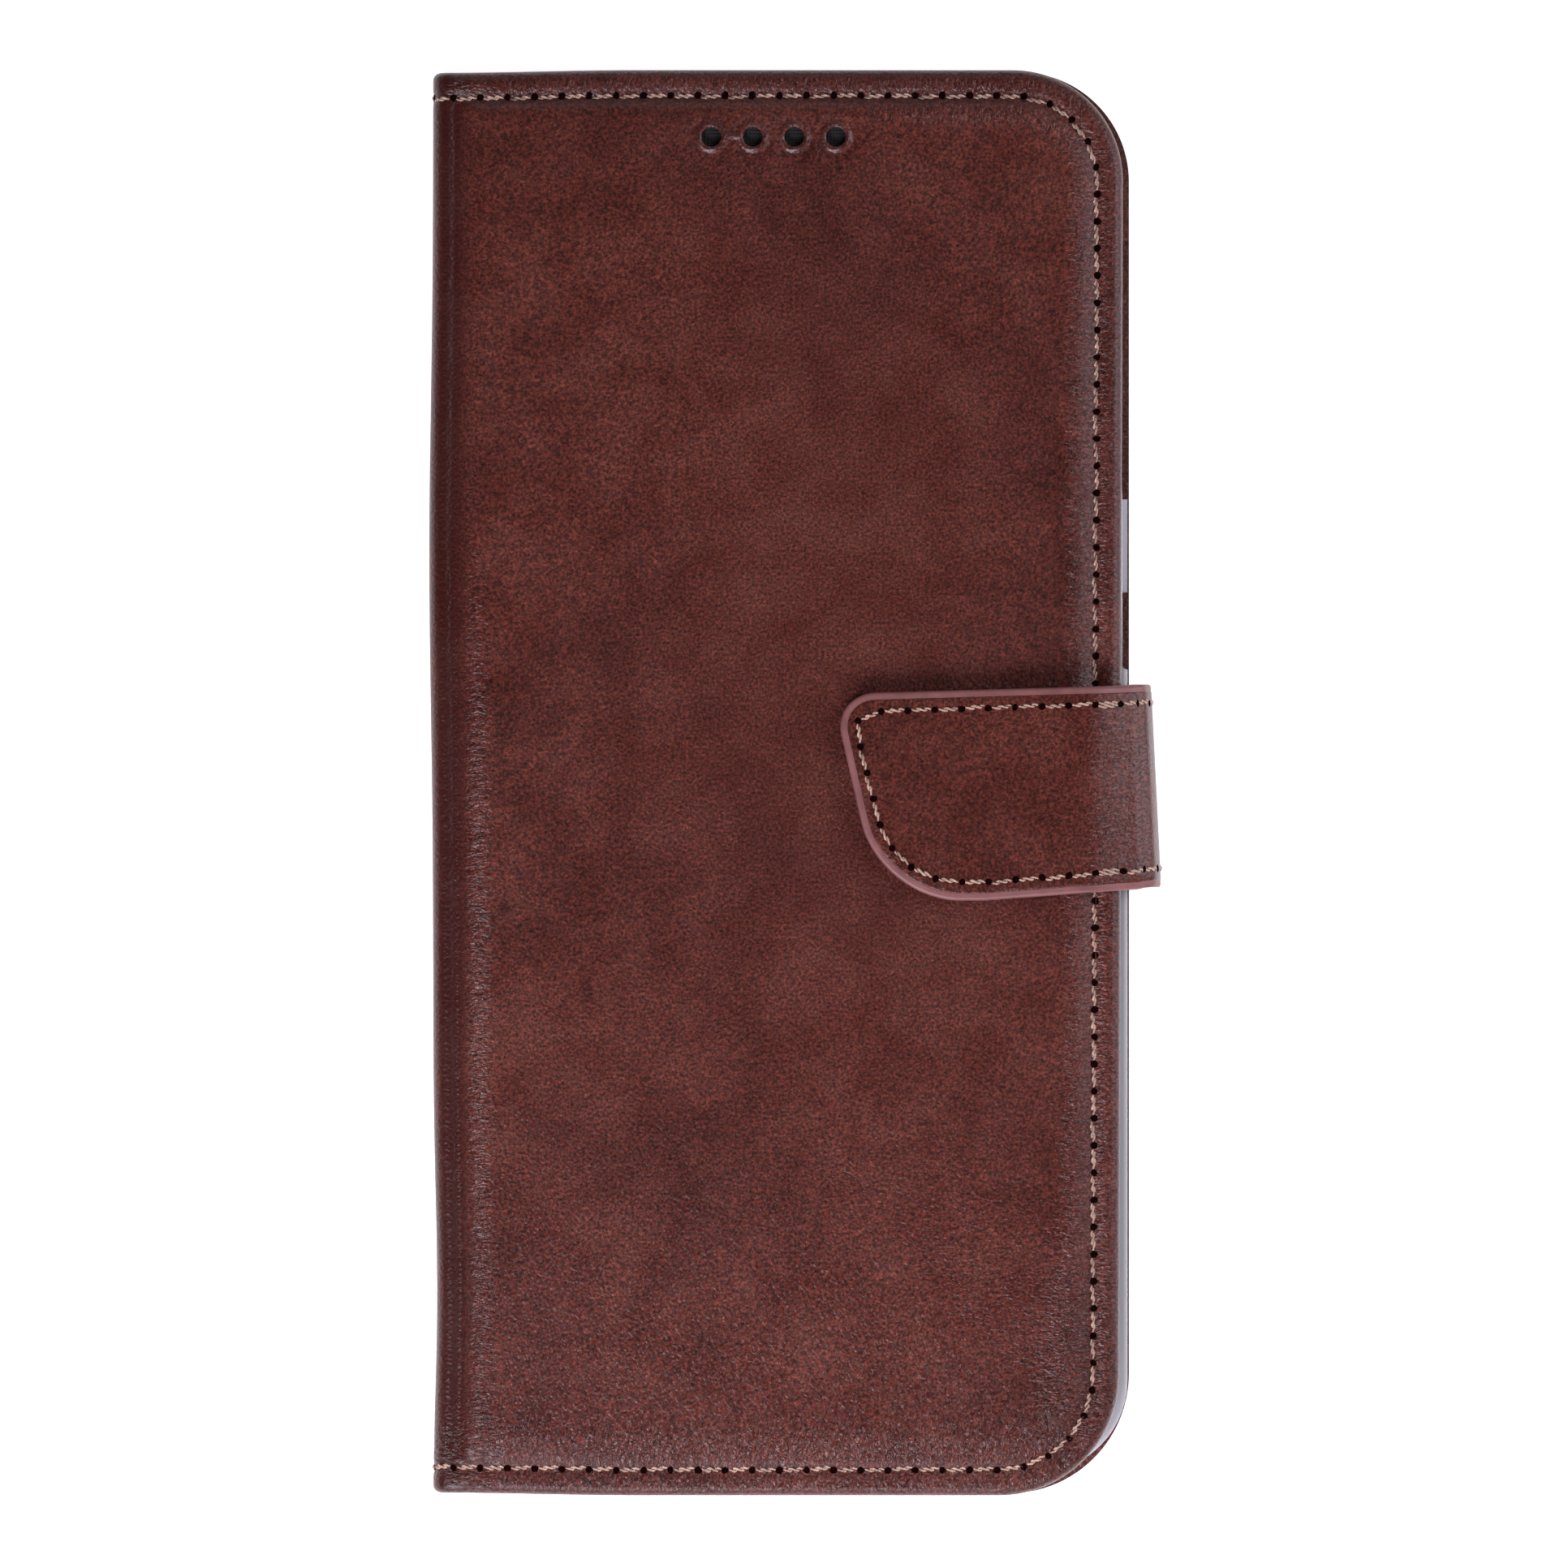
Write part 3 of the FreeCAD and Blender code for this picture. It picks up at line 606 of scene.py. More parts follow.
def sew(name, lines, height, place, mirrored, body, level=0.0, seed=1, doubled=None):
    """Threads, and painted shadow discs for the needle holes, along seam lines, laid in the surface that the height
    rule gives.
    """
    s = sizes()
    chance = random.Random(seed)
    threads, holes = bmesh.new(), bmesh.new()
    stitch = twisted_stitch(s.stitch * 0.86, s.thread)
    for line in lines:
        places = needle_places(line, s.stitch)
        for here, after in zip(places[:-1], places[1:]):
            way = after - here
            angle = math.atan2(way[1], way[0])
            size = math.hypot(*way) / s.stitch
            rows = [0.0]
            if doubled and doubled[0] < (here[0] + after[0]) / 2 < doubled[1]:
                rows = [0.16 * MM, -0.2 * MM]
            for row in rows:
                start = len(threads.verts)
                threads.from_mesh(stitch)
                threads.verts.ensure_lookup_table()
                side = Vector((-math.sin(angle), math.cos(angle), 0)) * (row + chance.uniform(-0.05, 0.05) * MM)
                back = Vector((math.cos(angle), math.sin(angle), 0)) * (s.stitch * 0.07)
                matrix = (
                    Matrix.Translation(Vector((here[0], here[1], 0)) + side + back)
                    @ Matrix.Rotation(angle + SLANT + chance.uniform(-0.05, 0.05), 4, "Z")
                    @ Matrix.Diagonal((size, chance.uniform(0.9, 1.08), chance.uniform(0.9, 1.1), 1))
                    @ Matrix.Rotation(chance.uniform(-0.5, 0.5), 4, "X")
                )
                bmesh.ops.transform(threads, matrix=matrix, verts=threads.verts[start:])
        # Each needle hole is a painted shadow: a nearly black disc laid just above the leather.
        for index, here in enumerate(places):
            nearby = places[min(index + 1, len(places) - 1)] - places[max(index - 1, 0)]
            turn = math.atan2(nearby[1], nearby[0])
            size = chance.uniform(0.9, 1.12)
            matrix = (
                Matrix.Translation((here[0], here[1], 0.035 * MM))
                @ Matrix.Rotation(turn, 4, "Z")
                @ Matrix.Diagonal((size, chance.uniform(0.92, 1.1), 1, 1))
            )
            made = bmesh.ops.create_circle(holes, cap_ends=True, radius=s.needle, segments=10, matrix=matrix)
            for vert in made["verts"]:
                vert.co.xy += Vector((chance.uniform(-0.06, 0.06), chance.uniform(-0.06, 0.06))) * MM
            face = made["verts"][0].link_faces[0]
            bmesh.ops.inset_region(holes, faces=[face], thickness=s.needle * 0.35, depth=0.02 * MM)
    bpy.data.meshes.remove(stitch)
    for bm in (threads, holes):
        co = np.array([v.co for v in bm.verts], float).reshape(-1, 3)
        lift = height(co[:, 0], co[:, 1])
        for vert, amount in zip(bm.verts, lift):
            vert.co.z += float(amount) + level
    pieces = []
    for title, bm, material in (("thread", threads, sewing_thread()), ("needle_hole_shadows", holes, needle_hole())):
        piece = finish_piece(f"{name}_{title}", bm, material, place, mirrored, sharp=80)
        if isinstance(body, str):
            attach(piece, body)
        else:
            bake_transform(piece)
        pieces.append(piece)
    return pieces


# ---- materials -----------------------------------------------------------------------------


def add(tree, kind, inputs=None, ramp=None, **settings):
    """Adds one node, sets it up, and fills or links its inputs."""
    node = tree.nodes.new(kind)
    for key, value in settings.items():
        setattr(node, key, value)
    for key, value in (inputs or {}).items():
        if isinstance(value, bpy.types.NodeSocket):
            tree.links.new(value, node.inputs[key])
        else:
            node.inputs[key].default_value = value
    if ramp:
        stops = node.color_ramp.elements
        while len(stops) < len(ramp):
            stops.new(0.5)
        for stop, (place, value) in zip(stops, ramp):
            stop.position = place
            stop.color = value if hasattr(value, "__len__") else (value, value, value, 1)
    return node


def new_material(name):
    """An empty material with a Principled shader, and its pattern coordinates in millimetres."""
    made = bpy.data.materials.new(name)
    made.use_nodes = True
    tree = made.node_tree
    tree.nodes.clear()
    out = add(tree, "ShaderNodeOutputMaterial")
    shader = add(tree, "ShaderNodeBsdfPrincipled")
    tree.links.new(shader.outputs[0], out.inputs[0])
    where = add(tree, "ShaderNodeTexCoord")
    grid = add(tree, "ShaderNodeMapping", {"Vector": where.outputs["Object"], "Scale": (1000, 1000, 1000)})
    return made, tree, shader, grid.outputs[0]


def rgba(value):
    return (*value, 1.0)


def tinted(colour, *shares):
    """A colour with its channels scaled by one share or by three."""
    shares = shares * 3 if len(shares) == 1 else shares
    return rgba(tuple(v * k for v, k in zip(colour, shares)))


def lumps(tree, where, size, detail, **more):
    """Noise whose lumps are about size millimetres across."""
    return add(tree, "ShaderNodeTexNoise", {"Vector": where, "Scale": 1 / size, "Detail": detail, **more})


def spread(tree, value, given, wanted):
    """A value moved from one range to another."""
    ends = {"From Min": given[0], "From Max": given[1], "To Min": wanted[0], "To Max": wanted[1]}
    return add(tree, "ShaderNodeMapRange", {"Value": value, **ends})


def ramped(tree, value, *stops):
    """A value turned into a colour by a ramp of (place, colour) stops."""
    return add(tree, "ShaderNodeValToRGB", {0: value}, ramp=stops).outputs[0]


def mix(tree, share, first, second, kind="MIX"):
    node = add(tree, "ShaderNodeMix", {0: share, 6: first, 7: second}, data_type="RGBA", blend_type=kind)
    return node.outputs[2]


def maths(tree, operation, *values):
    return add(tree, "ShaderNodeMath", dict(enumerate(values)), operation=operation).outputs[0]


def coated_leather(name, offset=(0, 0, 0), shade=1.0, gloss=0.0):
    """Polyurethane-coated leather, embossed and waxed: even brown under a satin topcoat, with a fine pebble grain of
    about 0.4 mm, pale rubbed flecks, crinkles where it bends, and painted shade in a deeper red where the spine's roll,
    turned edges and top margin get less light."""
    if name in bpy.data.materials:
        return bpy.data.materials[name]
    c = colours()
    made, tree, shader, where = new_material(name)
    where = add(tree, "ShaderNodeMapping", {"Vector": where, "Location": offset}).outputs[0]
    # Clouds in the dye, 25 mm and 7 mm across.
    clouds = lumps(tree, where, 24, 2.0, Roughness=0.5, Distortion=0.6)
    blotch = lumps(tree, where, 7, 4.0, Roughness=0.62, Distortion=0.4)
    tone = maths(tree, "MULTIPLY_ADD", blotch.outputs[0], 0.5, maths(tree, "MULTIPLY", clouds.outputs[0], 0.5))
    deep, mid, pale = (tuple(v * shade for v in x) for x in (c.leather_deep, c.leather_mid, c.leather_pale))
    base = ramped(tree, tone, (0.26, rgba(deep)), (0.5, rgba(mid)), (0.76, rgba(pale)))
    # Rubbed flecks and hair-thin pull-up lines: bent threads of paler dye, in patches.
    warp = lumps(tree, where, 3.5, 2.0)
    bend = add(tree, "ShaderNodeVectorMath", {0: warp.outputs["Color"], 3: 4.0}, operation="SCALE").outputs[0]
    warped = add(tree, "ShaderNodeVectorMath", {0: where, 1: bend}, operation="ADD").outputs[0]
    lines = lumps(tree, warped, 1.6, 2.0, Roughness=0.6)
    off = maths(tree, "ABSOLUTE", maths(tree, "SUBTRACT", lines.outputs[0], 0.5))
    line = spread(tree, off, (0.0, 0.03), (1.0, 0.0))
    patched = spread(tree, blotch.outputs[0], (0.42, 0.62), (0.25, 1.0))
    veins = maths(tree, "MULTIPLY", line.outputs[0], patched.outputs[0])
    base = mix(tree, maths(tree, "MULTIPLY", veins, 0.34), base, tinted(pale, 1.7, 1.5, 1.3))
    # Pebble grain, 0.4 mm cells with darker wax left between them.
    pebble = add(tree, "ShaderNodeTexVoronoi", {"Vector": where, "Scale": 1 / 0.42})
    fine = lumps(tree, where, 0.34, 2.0, Roughness=0.75)
    speck = spread(tree, fine.outputs[0], (0.34, 0.68), (0.0, 1.0))
    wax = ramped(tree, speck.outputs[0], (0, 0.26), (0.5, 0.95), (1, (2.05, 2.0, 1.95, 1)))
    base = mix(tree, 1.0, base, wax, "MULTIPLY")
    # Painted shade: the spine's roll, the turned edges and the top margin are darkened to a deeper red, where less
    # light falls on them.
    fold = add(tree, "ShaderNodeAttribute", attribute_name="fold")
    base = mix(tree, maths(tree, "MULTIPLY", fold.outputs["Fac"], 0.92), base, tinted(deep, 0.74, 0.36, 0.3))
    tree.links.new(base, shader.inputs["Base Color"])
    sheen = spread(tree, blotch.outputs[0], (0.3, 0.7), (0.31 - gloss, 0.42 - gloss))
    rubbed = add(tree, "ShaderNodeAttribute", attribute_name="crinkle")
    polished = maths(tree, "MULTIPLY_ADD", rubbed.outputs["Fac"], -0.1, sheen.outputs[0])
    tree.links.new(polished, shader.inputs["Roughness"])
    shader.inputs["IOR"].default_value = 1.4
    shader.inputs["Coat Weight"].default_value = 0.08
    shader.inputs["Coat Roughness"].default_value = 0.22
    # Relief: pebbles, then crinkles where the skin is pulled over an edge.
    crinkle = add(tree, "ShaderNodeAttribute", attribute_name="crinkle")
    across = add(tree, "ShaderNodeMapping", {"Vector": where, "Scale": (2.1, 0.95, 1.2)}).outputs[0]
    along = add(tree, "ShaderNodeMapping", {"Vector": where, "Scale": (0.95, 2.1, 1.2)}).outputs[0]
    side = add(tree, "ShaderNodeAttribute", attribute_name="sideways")
    pleats, rumple = (
        lumps(tree, way, 1.0, 2.0, Roughness=0.6, Distortion=0.7)
        for way in (across, along)
    )
    creased = mix(tree, side.outputs["Fac"], pleats.outputs["Fac"], rumple.outputs["Fac"])
    grain = maths(tree, "MULTIPLY_ADD", fine.outputs[0], 0.5, pebble.outputs["Distance"])
    first = add(tree, "ShaderNodeBump", {"Height": grain, "Strength": 0.6, "Distance": 0.00008})
    depth = maths(tree, "MULTIPLY", creased, crinkle.outputs["Fac"])
    pulled = {"Height": depth, "Strength": 1.0, "Distance": 0.00055, "Normal": first.outputs[0]}
    second = add(tree, "ShaderNodeBump", pulled)
    tree.links.new(second.outputs[0], shader.inputs["Normal"])
    return made


def lining_leather(name="microfibre_backed_lining"):
    """Thin microfibre-backed lining: matt and even, with a fine 0.6 mm embossed grain."""
    if name in bpy.data.materials:
        return bpy.data.materials[name]
    made, tree, shader, where = new_material(name)
    tint = tuple(colours().lining)
    cloud = lumps(tree, where, 11, 3.0)
    cells = add(tree, "ShaderNodeTexVoronoi", {"Vector": where, "Scale": 1 / 0.6})
    fine = lumps(tree, where, 0.25, 2.0)
    base = ramped(tree, cloud.outputs[0], (0.3, tinted(tint, 0.82)), (0.7, tinted(tint, 1.16)))
    base = mix(tree, 1.0, base, ramped(tree, cells.outputs["Distance"], (0.0, 1.1), (0.7, 0.78)), "MULTIPLY")
    tree.links.new(base, shader.inputs["Base Color"])
    rough = add(tree, "ShaderNodeMapRange", {"Value": fine.outputs[0], "To Min": 0.55, "To Max": 0.72})
    tree.links.new(rough.outputs[0], shader.inputs["Roughness"])
    height = maths(tree, "MULTIPLY_ADD", fine.outputs[0], 0.3, cells.outputs["Distance"])
    bump = add(tree, "ShaderNodeBump", {"Height": height, "Strength": 0.5, "Distance": 0.00008})
    tree.links.new(bump.outputs[0], shader.inputs["Normal"])
    shader.inputs["Sheen Weight"].default_value = 0.08
    shader.inputs["Sheen Roughness"].default_value = 0.5
    return made


def sewing_thread(name="waxed_polyester_thread"):
    """Waxed two-ply polyester thread: pale sandy fibres with darker lines between them."""
    if name in bpy.data.materials:
        return bpy.data.materials[name]
    made, tree, shader, where = new_material(name)
    tint = tuple(colours().thread)
    fibre = lumps(tree, where, 0.16, 2.0)
    tone = lumps(tree, where, 3.0, 1.0)
    bright = rgba(tuple(min(v * 1.25, 1) for v in tint))
    base = ramped(tree, fibre.outputs[0], (0.3, tinted(tint, 0.5)), (0.62, bright))
    base = mix(tree, 1.0, base, ramped(tree, tone.outputs[0], (0.3, 0.75), (0.7, 1.1)), "MULTIPLY")
    tree.links.new(base, shader.inputs["Base Color"])
    shader.inputs["Roughness"].default_value = 0.55
    shader.inputs["Sheen Weight"].default_value = 0.2
    bump = add(tree, "ShaderNodeBump", {"Height": fibre.outputs[0], "Strength": 0.6, "Distance": 0.00005})
    tree.links.new(bump.outputs[0], shader.inputs["Normal"])
    return made


def needle_hole(name="needle_hole_shadow"):
    """Painted shadow for a needle hole: nearly black, with faint fibre grain, standing for the shade inside the hole.
    """
    if name in bpy.data.materials:
        return bpy.data.materials[name]
    made, tree, shader, where = new_material(name)
    fibre = lumps(tree, where, 0.2, 2.0)
    base = ramped(tree, fibre.outputs[0], (0.35, paint("#060202")), (0.75, paint("#1c0b08")))
    tree.links.new(base, shader.inputs["Base Color"])
    shader.inputs["Roughness"].default_value = 1.0
    shader.inputs["Specular IOR Level"].default_value = 0.0
    return made


def edge_paint(name="acrylic_edge_paint"):
    """Acrylic edge paint, brushed on and rubbed: a smooth satin bead, a little uneven."""
    if name in bpy.data.materials:
        return bpy.data.materials[name]
    made, tree, shader, where = new_material(name)
    tint = tuple(colours().edge_paint)
    drift = lumps(tree, where, 2.2, 3.0)
    base = ramped(tree, drift.outputs[0], (0.3, tinted(tint, 0.84)), (0.7, tinted(tint, 1.14)))
    tree.links.new(base, shader.inputs["Base Color"])
    rough = add(tree, "ShaderNodeMapRange", {"Value": drift.outputs[0], "To Min": 0.38, "To Max": 0.55})
    tree.links.new(rough.outputs[0], shader.inputs["Roughness"])
    bump = add(tree, "ShaderNodeBump", {"Height": drift.outputs[0], "Strength": 0.35, "Distance": 0.0001})
    tree.links.new(bump.outputs[0], shader.inputs["Normal"])
    return made


def clear_tray(name="clear_tpu"):
    """Injection-moulded clear TPU: cool, slightly milky, with a soft gloss and faint flow marks."""
    if name in bpy.data.materials:
        return bpy.data.materials[name]
    made, tree, shader, where = new_material(name)
    tint = tuple(colours().tray)
    flow = lumps(tree, where, 9, 2.0)
    base = ramped(tree, flow.outputs[0], (0.3, tinted(tint, 0.93)), (0.7, rgba(tint)))
    tree.links.new(base, shader.inputs["Base Color"])
    rough = add(tree, "ShaderNodeMapRange", {"Value": flow.outputs[0], "To Min": 0.16, "To Max": 0.26})
    tree.links.new(rough.outputs[0], shader.inputs["Roughness"])
    shader.inputs["IOR"].default_value = 1.49
    shader.inputs["Transmission Weight"].default_value = 0.5
    return made


def plain_finish(name, dark, light, grain, rough, relief=0.00004, metallic=0.0, kind="noise"):
    """A hidden or small part's finish: two close colours in a pattern of the real grain size."""
    if name in bpy.data.materials:
        return bpy.data.materials[name]
    made, tree, shader, where = new_material(name)
    if kind == "cells":
        spot = add(tree, "ShaderNodeTexVoronoi", {"Vector": where, "Scale": 1 / grain}).outputs["Distance"]
    elif kind == "weave":
        yarns = {"Vector": where, "Scale": 2 / grain / 6.28}
        warp, weft = (
            add(tree, "ShaderNodeTexWave", yarns, bands_direction=way).outputs["Fac"] for way in ("X", "Y")
        )
        spot = maths(tree, "MULTIPLY", warp, weft)
    else:
        spot = lumps(tree, where, grain, 4.0).outputs[0]
    base = ramped(tree, spot, (0.3, paint(dark)), (0.7, paint(light)))
    tree.links.new(base, shader.inputs["Base Color"])
    satin = spread(tree, spot, (0.0, 1.0), (rough - 0.08, rough + 0.08))
    tree.links.new(satin.outputs[0], shader.inputs["Roughness"])
    shader.inputs["Metallic"].default_value = metallic
    bump = add(tree, "ShaderNodeBump", {"Height": spot, "Strength": 0.6, "Distance": relief})
    tree.links.new(bump.outputs[0], shader.inputs["Normal"])
    return made


# ---- the pieces ------------------------------------------------------------------------------


def flat_start(face_height):
    """Where a cover's leather starts in the flat, so that it ends at the spine's middle."""
    s = sizes()
    wall = abs(face_height - SPINE_MIDDLE) - s.roll_radius
    return SPINE_X + s.roll_radius - s.roll_radius * math.pi / 2 - wall


def spine_bend(height, up):
    """Start and end of the bend at one of the spine's two folds, for bodies in from, to order."""
    reach = 1.6 * MM
    corner = Vector((SPINE_X, 0, height))
    way = Vector((1, 0, 1)) if up else Vector((-1, 0, 1))
    return corner - way * reach, corner + way * reach


def front_fold():
    start, end = spine_bend(FRONT_FACE, True)
    return ("spine", "front", start, end)


def back_fold():
    start, end = spine_bend(0.0, False)
    return ("back", "spine", start, end)


def cover_corners(edge_low, edge_high, inset, left):
    s = sizes()
    y = HALF - inset
    return [
        (left, -y, 0),
        (edge_low - inset, -y, s.low_corner_radius - inset),
        (edge_high - inset, y, s.corner_radius - inset),
        (left, y, 0),
    ]


def cover_marks(seam, edge_rule, pad):
    """Where the leather is crinkled or pulled sideways, and where shade is painted on it."""
    s = sizes()

    def crinkle(u, y):
        inside = inside_by(u, y, edge_rule(y))
        bottom = ridge(inside, seam + 2.4 * MM, 2.6 * MM) * ease(-50 * MM, -72 * MM, y)
        side = 0.55 * ridge(inside, seam + 1.9 * MM, 1.6 * MM) * ease(0, 22 * MM, u)
        left = 0.7 * ridge(u, SPINE_X + 5.4 * MM, 1.6 * MM) * ease(45 * MM, -30 * MM, y) * pad
        margin = 0.3 * ridge(inside, seam * 0.45, 1.2 * MM) * ease(SPINE_X, SPINE_X + 3 * MM, u)
        near = 0.25 * ridge(inside, seam, 1.0 * MM)
        lower = 0.22 * ease(-20 * MM, -76 * MM, y) * ease(SPINE_X + 3 * MM, SPINE_X + 6 * MM, u) * pad
        return np.clip(0.03 + bottom + side + left + margin + near + lower, 0, 1)

    # Painted shade: the spine's roll, the turned edge and the top margin, where less light falls.
    def fold(u, y):
        inside = inside_by(u, y, edge_rule(y))
        roll = 1.15 * ridge(u, SPINE_X + 2.0 * MM, 1.7 * MM)
        rim = 0.25 * ridge(inside, 0.4 * MM, 0.8 * MM)
        top = 0.28 * ease(HALF - 6 * MM, HALF - 2 * MM, y)
        return np.clip(roll + rim + top, 0, 1)

    def sideways(u, y):
        dx = u - (edge_rule(y) - s.corner_radius)
        dy = np.abs(y) - (HALF - s.corner_radius)
        return np.clip(ease(-2 * MM, 5 * MM, dx - dy) + ease(SPINE_X + 9 * MM, SPINE_X + 6 * MM, u), 0, 1)

    return {"crinkle": crinkle, "fold": fold, "sideways": sideways}


def leather_shell(corners, thickness, xs, ys, height, holes=()):
    """Leather cut out, turned over its board's edge and given its thickness."""
    s = sizes()
    bm, bottom, _ = blank(corners, 0.0, thickness, s.edge_round)
    bmesh.ops.inset_region(bm, faces=[bottom], thickness=s.rim, use_even_offset=True, use_boundary=True)
    bmesh.ops.delete(bm, geom=[bottom], context="FACES_ONLY")
    left = min(c[0] for c in corners)
    # The end at the spine's middle is a plain cut, so its rounded edge and wall come off.
    bmesh.ops.bisect_plane(
        bm, geom=everything(bm), dist=1e-7, plane_co=(left + 1.5 * MM, 0, 0), plane_no=(1, 0, 0), clear_inner=True
    )
    cut_across(bm, xs, ys)
    bm.normal_update()
    for x, y in holes:
        punch(bm, x, y, s.sound_hole, HOLE_REACH)
    bm.normal_update()
    rise(bm, height, s.edge_round)
    bm.normal_update()
    bmesh.ops.solidify(bm, geom=bm.faces[:], thickness=s.leather)
    return bm


def cover_cuts(start, edge, holes=False):
    s = sizes()
    roll_end = SPINE_X + s.roll_radius
    roll_start = roll_end - s.roll_radius * math.pi / 2
    first = HOLE_X - 1.5 * s.sound_pitch - HOLE_REACH
    last = HOLE_X + 1.5 * s.sound_pitch + HOLE_REACH
    xs = steps_between(start + 1 * MM, roll_start, 1.1 * MM)
    xs += steps_between(roll_start, roll_end, 0.4 * MM)
    xs += steps_between(roll_end, SPINE_X + 8 * MM, 0.42 * MM)
    xs += steps_between(SPINE_X + 8 * MM, first, 1.15 * MM)
    xs += steps_between(first, last, 0.7 * MM / (3 if holes else 1))
    xs += steps_between(last, 30 * MM, 1.15 * MM)
    xs += steps_between(30 * MM, edge - 1.0 * MM, 0.5 * MM)
    hole_y = HALF - s.sound_from_end
    ys = steps_between(-HALF + 1.0 * MM, -HALF + 10 * MM, 0.45 * MM)
    ys += steps_between(-HALF + 10 * MM, HALF - 14 * MM, 1.15 * MM)
    ys += steps_between(HALF - 14 * MM, hole_y - HOLE_REACH, 0.7 * MM)
    ys += steps_between(hole_y - HOLE_REACH, hole_y + HOLE_REACH, 0.7 * MM / (3 if holes else 1))
    ys += steps_between(hole_y + HOLE_REACH, HALF - 1.0 * MM, 0.45 * MM)
    return xs, ys


class WALLET_OT_front_cover(bpy.types.Operator):
    """Make the padded front cover: leather over foam, with its earpiece holes"""

    bl_idname = "wallet_case.front_cover"
    bl_label = "Front Cover"

    def execute(self, context):
        s = sizes()
        start = flat_start(FRONT_FACE)
        corners = cover_corners(s.front_edge_bottom, s.front_edge_top, 0, start - 1.5 * MM)
        xs, ys = cover_cuts(start, s.front_edge_bottom, True)
        bm = leather_shell(corners, FRONT_FACE - FRONT_INSIDE, xs, ys, front_height, hole_places())
        marks = cover_marks(s.front_seam, front_edge, 1.0)
        leather = finish_piece("front_leather", bm, coated_leather("coated_leather"), front_place, marks=marks)
        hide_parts("front_outer_skin", "spine_outer_skin")
        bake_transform(leather)

        # Foam sheet under the padded panel.
        lo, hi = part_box("front_foam_pad")
        foam_corners = [
            (lo.x, lo.y, 1.5 * MM),
            (hi.x - 0.4 * MM, lo.y, 7 * MM),
            (hi.x, hi.y, 7 * MM),
            (lo.x, hi.y, 1.5 * MM),
        ]
        bm, _, _ = blank(foam_corners, -0.15 * MM, 0.6 * MM, 0.25 * MM, steps=3)
        mesh_low, mesh_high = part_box("speaker_mesh")
        gap = 0.5 * MM
        bore(bm, [rectangle(mesh_low.x - gap, mesh_low.y - gap, mesh_high.x + gap, mesh_high.y, 1 * MM)])
        xs, ys = (steps_between(lo[axis] + 1 * MM, hi[axis] - 1 * MM, 3 * MM) for axis in (0, 1))
        cut_across(bm, xs, ys)
        rise(bm, lambda u, y: front_height(u, y) - 0.68 * MM, 0.25 * MM)
        cells = plain_finish("polyurethane_foam", "#c9c2b4", "#e6e0d2", 0.5, 0.85, 0.00012, kind="cells")
        foam = finish_piece("front_foam", bm, cells, wrap(SPINE_X, FRONT_FACE, -1, 1, s.roll_radius))
        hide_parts("front_foam_pad")
        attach(foam, "front")
        return {"FINISHED"}


def window_corners():
    """The camera window's outline, round the tray's collar."""
    width, tall, radius = 23 * MM, 40 * MM, 6 * MM
    right = high("phone_tray", 0) - 5.45 * MM
    top = high("phone_tray", 1) - 5.5 * MM
    return rectangle(right - width, top - tall, right, top, radius)


def rectangle(left, bottom, right, top, radius):
    """Corners of a rectangle with rounded corners."""
    return [(left, bottom, radius), (right, bottom, radius), (right, top, radius), (left, top, radius)]


def round_corners(x, y, radius):
    """A square of corners whose rounding makes it a circle."""
    return rectangle(x - radius, y - radius, x + radius, y + radius, radius * 0.999)


def bore(bm, outlines):
    """Cuts openings through a flat piece with a boolean cut."""
    cutter = bmesh.new()
    for outline in outlines:
        shape = bmesh.new()
        face = cut_outline(shape, outline, -6 * MM)
        made = bmesh.ops.extrude_face_region(shape, geom=[face])
        raised = [g for g in made["geom"] if isinstance(g, bmesh.types.BMVert)]
        bmesh.ops.translate(shape, vec=(0, 0, 12 * MM), verts=raised)
        bmesh.ops.recalc_face_normals(shape, faces=shape.faces[:])
        mesh = bpy.data.meshes.new("opening")
        shape.to_mesh(mesh)
        cutter.from_mesh(mesh)
        shape.free()
        bpy.data.meshes.remove(mesh)
    bmesh.ops.recalc_face_normals(bm, faces=bm.faces[:])
    objects = []
    for title, source in (("cutter", cutter), ("to_cut", bm)):
        mesh = bpy.data.meshes.new(title)
        source.to_mesh(mesh)
        made = bpy.data.objects.new(title, mesh)
        bpy.context.scene.collection.objects.link(made)
        objects.append(made)
    knife, piece = objects
    cut = piece.modifiers.new("opening", "BOOLEAN")
    cut.object = knife
    cut.solver = "EXACT"
    ready = piece.evaluated_get(bpy.context.evaluated_depsgraph_get())
    mesh = bpy.data.meshes.new_from_object(ready)
    bm.clear()
    bm.from_mesh(mesh)
    cutter.free()
    bpy.data.meshes.remove(mesh)
    for made in objects:
        bpy.data.objects.remove(made)


class WALLET_OT_back_cover(bpy.types.Operator):
    """Make the back cover's leather, with its camera window"""

    bl_idname = "wallet_case.back_cover"
    bl_label = "Back Cover"

    def execute(self, context):
        s = sizes()
        start = flat_start(0.0)
        corners = cover_corners(EDGE_X + 0.15 * MM, EDGE_X + 0.15 * MM, 0, start - 1.5 * MM)
        xs, ys = cover_cuts(start, EDGE_X)
        bm = leather_shell(corners, BACK_INSIDE, xs, ys, back_height)
        bore(bm, [window_corners()])
        marks = cover_marks(s.back_seam, back_edge, 0.5)
        skin = coated_leather("coated_leather_back", (40, 90, 7))
        leather = finish_piece("back_leather", bm, skin, back_place, True, marks)
        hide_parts("back_outer_skin")
        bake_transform(leather)
        return {"FINISHED"}


